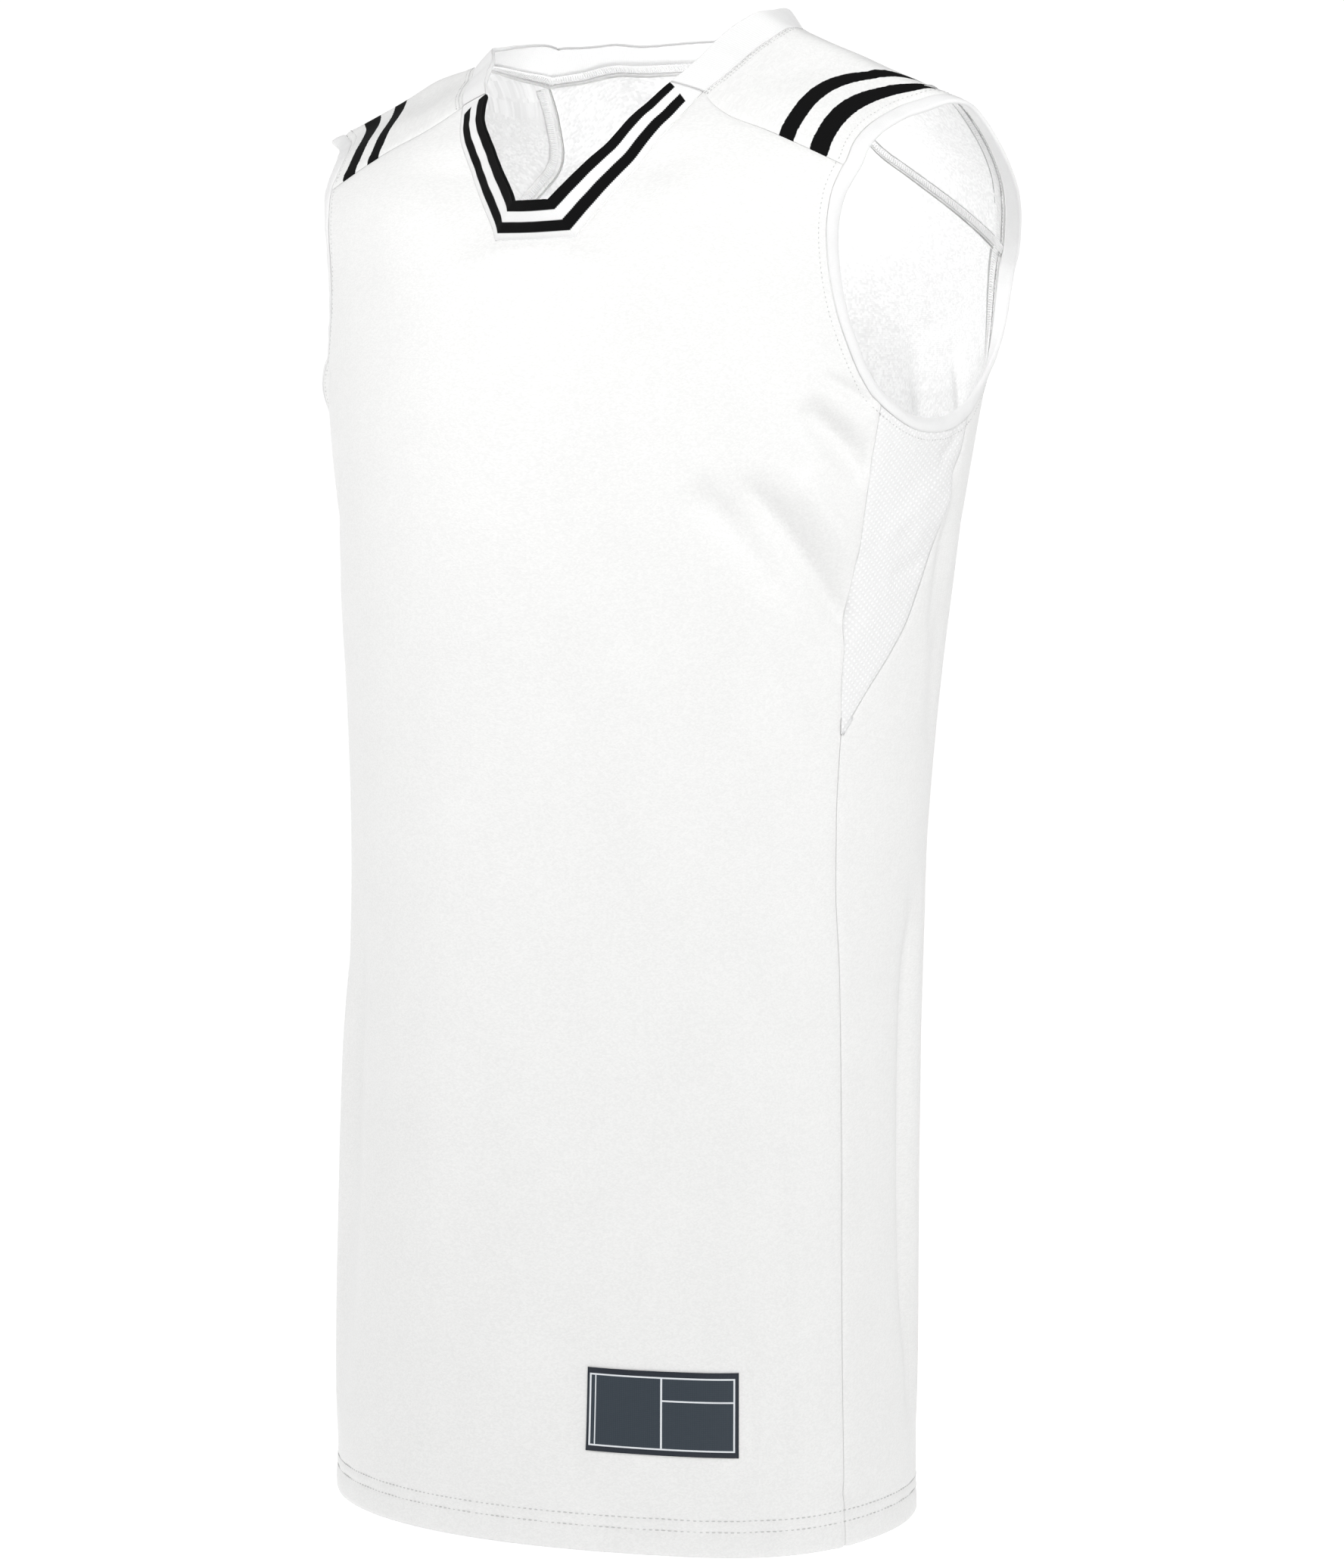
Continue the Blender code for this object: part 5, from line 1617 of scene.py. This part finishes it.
# ---- threads ----
@dataclass(frozen=True)
class StitchRow:
    """One row of lockstitches along a line on the cloth."""

    path: Array
    normal: Array
    pitch: float
    gap: float
    radius: float
    lift: float = 0.00010

    def arrays(self) -> tuple:
        """Vertices and quads of every stitch in the row.

        Returns:
            (points, faces): each stitch is four hexagonal rings along its stretch of the path,
            thin at both ends, sunk at the ends and raised in the middle.
        """
        far = measured(self.path)
        count = max(int(far[-1] // self.pitch), 1)
        at = np.arange(count)[:, None] * self.pitch + np.array((0.0, 0.22, 0.78, 1.0)) * (self.pitch - self.gap)
        middle, up = read_along(at, far, self.path), unit(read_along(at, far, self.normal))
        along = unit(middle[:, -1] - middle[:, 0])[:, None]
        aside = unit(np.cross(np.broadcast_to(along, up.shape), up))
        radius = self.radius * np.array((0.35, 1.0, 1.0, 0.35))
        middle = middle + up * (self.lift - self.radius * np.array((0.9, 0.0, 0.0, 0.9)))[:, None]
        points = middle[:, :, None] + rings(6, up, aside) * radius[:, None, None]
        caps = ((0, 3, 4, 5), (0, 1, 2, 3)), ((18, 23, 22, 21), (18, 21, 20, 19))
        one = np.concatenate((grid_faces(4, 6, closed=True), *caps))
        return points.reshape(-1, 3), (one + np.arange(count)[:, None, None] * 24).reshape(-1, 4)


@dataclass
class Sewing:
    """All visible sewing: topstitching beside the seams, the hem's double row, and lines for the overlock.

    Rows are distances from a seam, and a stitch is the pitch, the gap and the radius of its thread.
    """

    pattern: Pattern
    wardrobe: Wardrobe
    arm_rows: tuple = (0.0036,)
    arm_stitch: tuple = (0.0024, 0.0011, 0.00024)
    inner_rows: tuple = (0.0018, 0.0092)
    inner_stitch: tuple = (0.0024, 0.0011, 0.00020)
    neck_rows: tuple = (0.0016, 0.0034)
    neck_stitch: tuple = (0.0021, 0.0008, 0.00028)
    v_row: float = 0.0024
    v_stitch: tuple = (0.0024, 0.0010, 0.00024)
    hem_stitch: tuple = (0.0031, 0.0011, 0.00030)
    sunk: float = 0.00030

    def on_cloth(self, theta: Array, level: Array) -> tuple:
        """Points of the cloth's outer face and its normals there."""
        return self.pattern.cloth(theta, level), self.pattern.form.outward(theta, level)

    def beside(self, places: Array, offset: float, toward: float) -> tuple:
        """A line beside a seam.

        Args:
            places: rows (theta, level) of the seam.
            offset: metres from it.
            toward: +1 or -1, the side of the seam's direction of travel.

        Returns:
            (points, normals) on the cloth: the seam moved square to itself on the form, by the
            turn and the drop that best make up that move.
        """
        form, (theta, level) = self.pattern.form, places.T
        surface, degrees, metres = form.ring(theta, level), 0.1, 1e-4
        move = offset * toward * np.cross(form.outward(theta, level), unit(np.gradient(surface, axis=0)))
        round_it = (form.ring(theta + degrees, level) - surface) / degrees
        down = (form.ring(theta, np.sqrt(level**2 + metres)) - surface) / metres
        turn, drop = (np.linalg.pinv(np.stack((round_it, down), -1)) @ move[..., None])[..., 0].T
        return self.on_cloth(theta + turn, np.sqrt(np.maximum(level**2 + drop, 1e-6)))

    def over_top(self, places: Array, offset: float, toward: float) -> tuple:
        """The same beside a seam on the sheet over the shoulder, moved square to itself."""
        surface = self.pattern.yoke_cloth(*places.T)
        normal = self.pattern.form.outward(*places.T, self.pattern.form.sheet)
        return surface + offset * toward * np.cross(normal, unit(np.gradient(surface, axis=0))), normal

    def round_armhole(self, turn: float, offset: float) -> tuple:
        """A loop on the cloth beside one armhole's whole seam.

        Args:
            turn: +1 for the left armhole and -1 for the right.
            offset: metres from the seam, away from the arm.

        Returns:
            (points, normals), from the front seam of the yoke under the arm and over the top.
        """
        p = self.pattern
        under = p.line(p.armhole, 300, between=(p.at_yoke_front, p.at_yoke_back)) * (turn, 1.0)
        top = p.over_shoulder(160)[::-1] * (turn, 1.0)
        parts = self.beside(under, offset, -turn), self.over_top(top, offset, -turn)
        return tuple(np.concatenate((first, second[3:-3], first[:1])) for first, second in zip(*parts))

    def stitched(self, name: str, rows: Sequence[StitchRow]) -> None:
        """One piece of all the stitches in several rows."""
        dress(gathered(name, [row.arrays() for row in rows], self.wardrobe.thread), "satin")

    def build_hem(self) -> None:
        """Two parallel rows all round, a little sunk into the cloth."""
        rows, theta = [], np.linspace(0.0, 360.0, 900)
        for above in HEM_ROWS:
            level = np.full_like(theta, math.sqrt(self.pattern.form.hem_drop - above))
            points, normal = self.on_cloth(theta, level)
            rows.append(StitchRow(points - self.sunk * normal, normal, *self.hem_stitch))
        self.stitched("hem_stitches", rows)

    def build_topstitch(self) -> None:
        """Rows on the cloth round both armholes, on its two faces, round the neck, and outside the V."""
        p, rows = self.pattern, []
        v_side = p.line(p.v_side, 90)
        neck_side = p.line(p.neck_side, 140, on_sheet=True)
        for turn in (1.0, -1.0):
            for offset in self.arm_rows:
                rows.append(StitchRow(*self.round_armhole(turn, offset), *self.arm_stitch))
            for offset in self.inner_rows:
                points, normal = self.round_armhole(turn, offset)
                rows.append(StitchRow(points - PANEL_WALL * normal, -normal, *self.inner_stitch))
            for offset in self.neck_rows:
                rows.append(StitchRow(*self.over_top(neck_side * (turn, 1.0), offset, -turn), *self.neck_stitch))
        v_line = joined(v_side, p.line(p.v_flat, 30), other_side(v_side))
        rows.append(StitchRow(*self.beside(v_line, self.v_row, -1.0), *self.v_stitch))
        self.stitched("topstitches", rows)


@dataclass
class Overlock:
    """Seam allowances on the wrong side: a flat ribbon of turned edge under two crossing rows of looped thread.

    The groups named in shadow_edged also have a dark ribbon at that distance from the seam: the allowance's edge,
    painted dark as the shadow under it.
    """

    sewing: Sewing
    wardrobe: Wardrobe
    start: float = 0.0026
    width: float = 0.0046
    thickness: float = 0.0005
    pitch: float = 0.0026
    thread: float = 0.00042
    corners: int = 6
    # groups that get a dark edge ribbon of painted shadow, at these distances from the seam; edge is that ribbon's
    # width and thickness
    shadow_edged: dict = field(default_factory=lambda: {"overlock_yoke_left": 0.0000, "overlock_armholes": 0.0072})
    edge: tuple = (0.0026, 0.00030)

    def seams(self) -> dict:
        """Every overlocked seam, as a function that gives the line on the cloth at an offset.

        Returns:
            By group: lists of functions (offset) -> (points, normals), where a negative offset
            lies on the other side of the seam.
        """
        sew, p = self.sewing, self.sewing.pattern
        kinds = ("armholes", "yoke_left", "yokes", "neck", "sides")
        groups = {f"overlock_{kind}": [] for kind in kinds}
        armholes, left, yokes, neck, sides = groups.values()
        for turn in (1.0, -1.0):
            armholes.append(partial(sew.round_armhole, turn))
            back, front = (p.line(table, 90) * (turn, 1.0) for table in (p.yoke_back, p.yoke_front))
            (left if turn > 0 else yokes).append(partial(sew.beside, back, toward=-turn))
            yokes.append(partial(sew.beside, front, toward=turn))
            for table in (p.side_seam, p.gusset_front, p.gusset_rear):
                sides.append(partial(sew.beside, p.line(table, 120) * (turn, 1.0), toward=-turn))
            neck_side = p.line(p.neck_side, 120, on_sheet=True) * (turn, 1.0)
            neck.append(partial(sew.over_top, neck_side, toward=turn))
        neck_back = p.line(p.neck_back, 60)
        neck.append(partial(sew.beside, joined(neck_back, other_side(neck_back, 360.0)), toward=1.0))
        return groups

    def strip(self, line: Callable, start: float, width: float) -> tuple:
        """The middle and the half width of a strip beside a seam, and the normals along it."""
        (near, normal), (far, _) = line(start), line(start + width)
        return (near + far) / 2, (far - near) / 2, normal

    def ribbon(self, line: Callable, start: float, width: float, thickness: float) -> tuple:
        """Vertices and quads of one flat ribbon on the wrong side.

        Args:
            line: gives points and normals at an offset from the seam.
            start, width: where it lies beside the seam.
            thickness: how thick it is in the middle.

        Returns:
            (points, faces): ellipses as wide as the ribbon, carried along the seam.
        """
        middle, half, normal = self.strip(line, start, width)
        under = middle - normal * (PANEL_WALL + thickness * 0.42)
        points = under[:, None] + rings(8, half, -normal * thickness / 2)
        return points.reshape(-1, 3), self.closed_faces(len(middle), 8)

    def closed_faces(self, rows: int, sides: int) -> Array:
        """Quads of a tube, with both its ends closed by quads; sides is 4, 6 or 8."""
        half = np.arange(sides // 2 - 1)
        first = np.stack((half, half + 1, sides - 2 - half, sides - 1 - half), -1)
        return np.concatenate((grid_faces(rows, sides, closed=True), first, first[:, ::-1] + (rows - 1) * sides))

    def loops(self, line: Callable, phase: float) -> tuple:
        """Vertices and quads of one strand that swings from edge to edge over the ribbon.

        Args:
            line: gives points and normals at an offset from the seam.
            phase: 0 or 0.5 of a swing.

        Returns:
            (points, faces): a square thread along middle + half * w(t), where w is a sine
            raised towards a flat-topped wave, over the ribbon's own rounded top.
        """
        whole = self.strip(line, self.start, self.width)
        far = measured(whole[0])
        at = np.linspace(0.0, far[-1], int(far[-1] / self.pitch) * self.corners)
        middle, half, normal = (read_along(at, far, each) for each in whole)
        swing = np.clip(1.25 * np.sin(2 * np.pi * (at / self.pitch + phase)), -1.0, 1.0)[:, None]
        sunk = PANEL_WALL + self.thickness * (0.45 + 0.5 * np.sqrt(1.0 - 0.8 * swing**2)) + 0.0001
        path = middle + half * swing - normal * sunk
        along = unit(np.gradient(path, axis=0))
        up = square_to(normal, along)
        points = path[:, None] + self.thread * rings(4, up, np.cross(along, up))
        return points.reshape(-1, 3), self.closed_faces(len(at), 4)

    def build(self) -> None:
        """Makes one piece of ribbons and one of threads for each group of seams, and the dark edge ribbons beside them,
        which are painted shadow.
        """
        clothes = self.wardrobe
        for name, lines in self.seams().items():
            shadow_edged = name in self.shadow_edged
            ribbons = [self.ribbon(line, self.start, self.width, self.thickness) for line in lines]
            threads = [self.loops(line, phase) for line in lines for phase in (0.0, 0.5)]
            edges = [self.ribbon(line, self.shadow_edged[name], *self.edge) for line in lines if shadow_edged]
            for kind, parts, material in (
                ("cloth", ribbons, clothes.turned if shadow_edged else clothes.overlock),
                ("thread", threads, clothes.overlock),
                # the edge ribbons are the allowance's edge painted dark as its shadow
                ("edge", edges, clothes.allowance),
            ):
                if parts:
                    piece = gathered(f"{name}_{kind}", parts, material)
                    fix_outward(piece)
                    dress(piece, "satin")


# ---- studio ----
@dataclass
class Studio:
    """Pale floor, soft light and the camera."""

    eye: tuple = (1.3766, -1.9660, -0.2416)
    turn: float = 34.543
    pitch: float = 3.232
    lens: float = 106.98
    floor_height: float = -0.90
    floor_reach: float = 14.0
    zenith: float = 0.34
    facing: float = 0.70
    horizon: float = 1.05
    softboxes: tuple = (
        ("key_softbox", (1.11, -1.00, 1.05), (0.03, 0.0, -0.02), 0.8, 2.15, 56.0),
        ("left_softbox", (-1.40, -1.40, 0.55), (-0.08, 0.0, -0.16), 1.2, 3.0, 76.0),
        ("right_softbox", (1.90, -0.70, 0.05), (0.10, 0.0, -0.85), 1.0, 1.2, 66.0),
    )
    fill: tuple = ("chest_fill", (0.03, 0.0, -0.10), 0.03, 0.27)

    def placed(self, name: str, data: bpy.types.ID, place: tuple, rotation: tuple = (0.0, 0.0, 0.0)) -> Piece:
        """Puts a light or the camera into the scene."""
        made = bpy.data.objects.new(name, data)
        made.location, made.rotation_euler = place, rotation
        bpy.context.scene.collection.objects.link(made)
        return made

    def softbox(self, name: str, place: tuple, target: tuple, size: float, power: float, spread: float) -> None:
        """One round softbox that points at a target; a grid narrows its spread."""
        data = bpy.data.lights.new(name, "AREA")
        data.shape, data.size, data.energy, data.spread = "DISK", size, power, math.radians(spread)
        x, y, z = np.array(target, float) - np.array(place, float)
        self.placed(name, data, place, (math.pi / 2 + math.atan2(z, math.hypot(x, y)), 0.0, math.atan2(-x, y)))

    def lamp(self, name: str, place: tuple, radius: float, power: float) -> None:
        """One small round lamp, which fills the hollow as light through the cloth would."""
        data = bpy.data.lights.new(name, "POINT")
        data.shadow_soft_size, data.energy = radius, power
        self.placed(name, data, place)

    def surroundings(self) -> bpy.types.World:
        """White all round: brighter behind the jersey than in front of it, and darker above."""
        world = bpy.data.worlds.new("white_surroundings")
        sheet = NodeSheet(world, "Background")
        direction = sheet.place("Generated")
        round_about = sheet.ranged(sheet.dot(direction, FloorPaper.behind), -0.5, 0.7, self.facing, self.horizon, True)
        height = sheet.node("SeparateXYZ", None, i0=direction).outputs[2]
        sheet.set(Color=WHITE, Strength=sheet.ranged(height, 0.14, 0.40, round_about, self.zenith, True))
        return world

    def build(self) -> None:
        """Makes the floor, the lights, the white surroundings and the camera."""
        scene = bpy.context.scene
        scene.view_settings.view_transform = "Standard"
        x, y = np.meshgrid(*[np.linspace(-self.floor_reach, self.floor_reach, 9)] * 2)
        points = np.stack((x, y, np.full_like(x, self.floor_height)), -1).reshape(-1, 3)
        new_mesh_object("studio_floor", points, grid_faces(9, 9), [FloorPaper().make("pale_paper")])
        scene.world = self.surroundings()
        for each in self.softboxes:
            self.softbox(*each)
        self.lamp(*self.fill)
        data = bpy.data.cameras.new("camera")
        data.lens, data.sensor_width, data.sensor_fit = self.lens, 36.0, "AUTO"
        data.clip_start, data.clip_end = 0.05, 100.0
        rotation = (math.radians(90.0 - self.pitch), 0.0, math.radians(self.turn))
        scene.camera = self.placed("camera", data, self.eye, rotation)
        LOG.info("studio: floor at %.2f m", self.floor_height)


def main() -> None:
    """Builds every piece in order and says what was made."""
    logging.basicConfig(level=logging.INFO, format="%(name)s: %(message)s")
    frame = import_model()
    LOG.info("%d solids in the frame", len(frame["nodes"]))
    pattern, wardrobe = Pattern(), Wardrobe()
    pieces = [FrontPanel(pattern, wardrobe).build(), BackPanel(pattern, wardrobe).build()]
    for side in Side:
        pieces += [kind(pattern, wardrobe, side=side).build() for kind in (Yoke, SideGusset, ArmholeBinding)]
    collar = Collar(pattern, wardrobe)
    pieces += [collar.build_front(), collar.build_back(), HemLabel(pattern, wardrobe).build()]
    sewing = Sewing(pattern, wardrobe)
    sewing.build_hem()
    sewing.build_topstitch()
    Overlock(sewing, wardrobe).build()
    for piece in pieces:
        LOG.info("%s: %.4f m2 of cloth", piece.name, cloth_area(piece))
    Studio().build()


if __name__ == "__main__":
    main()
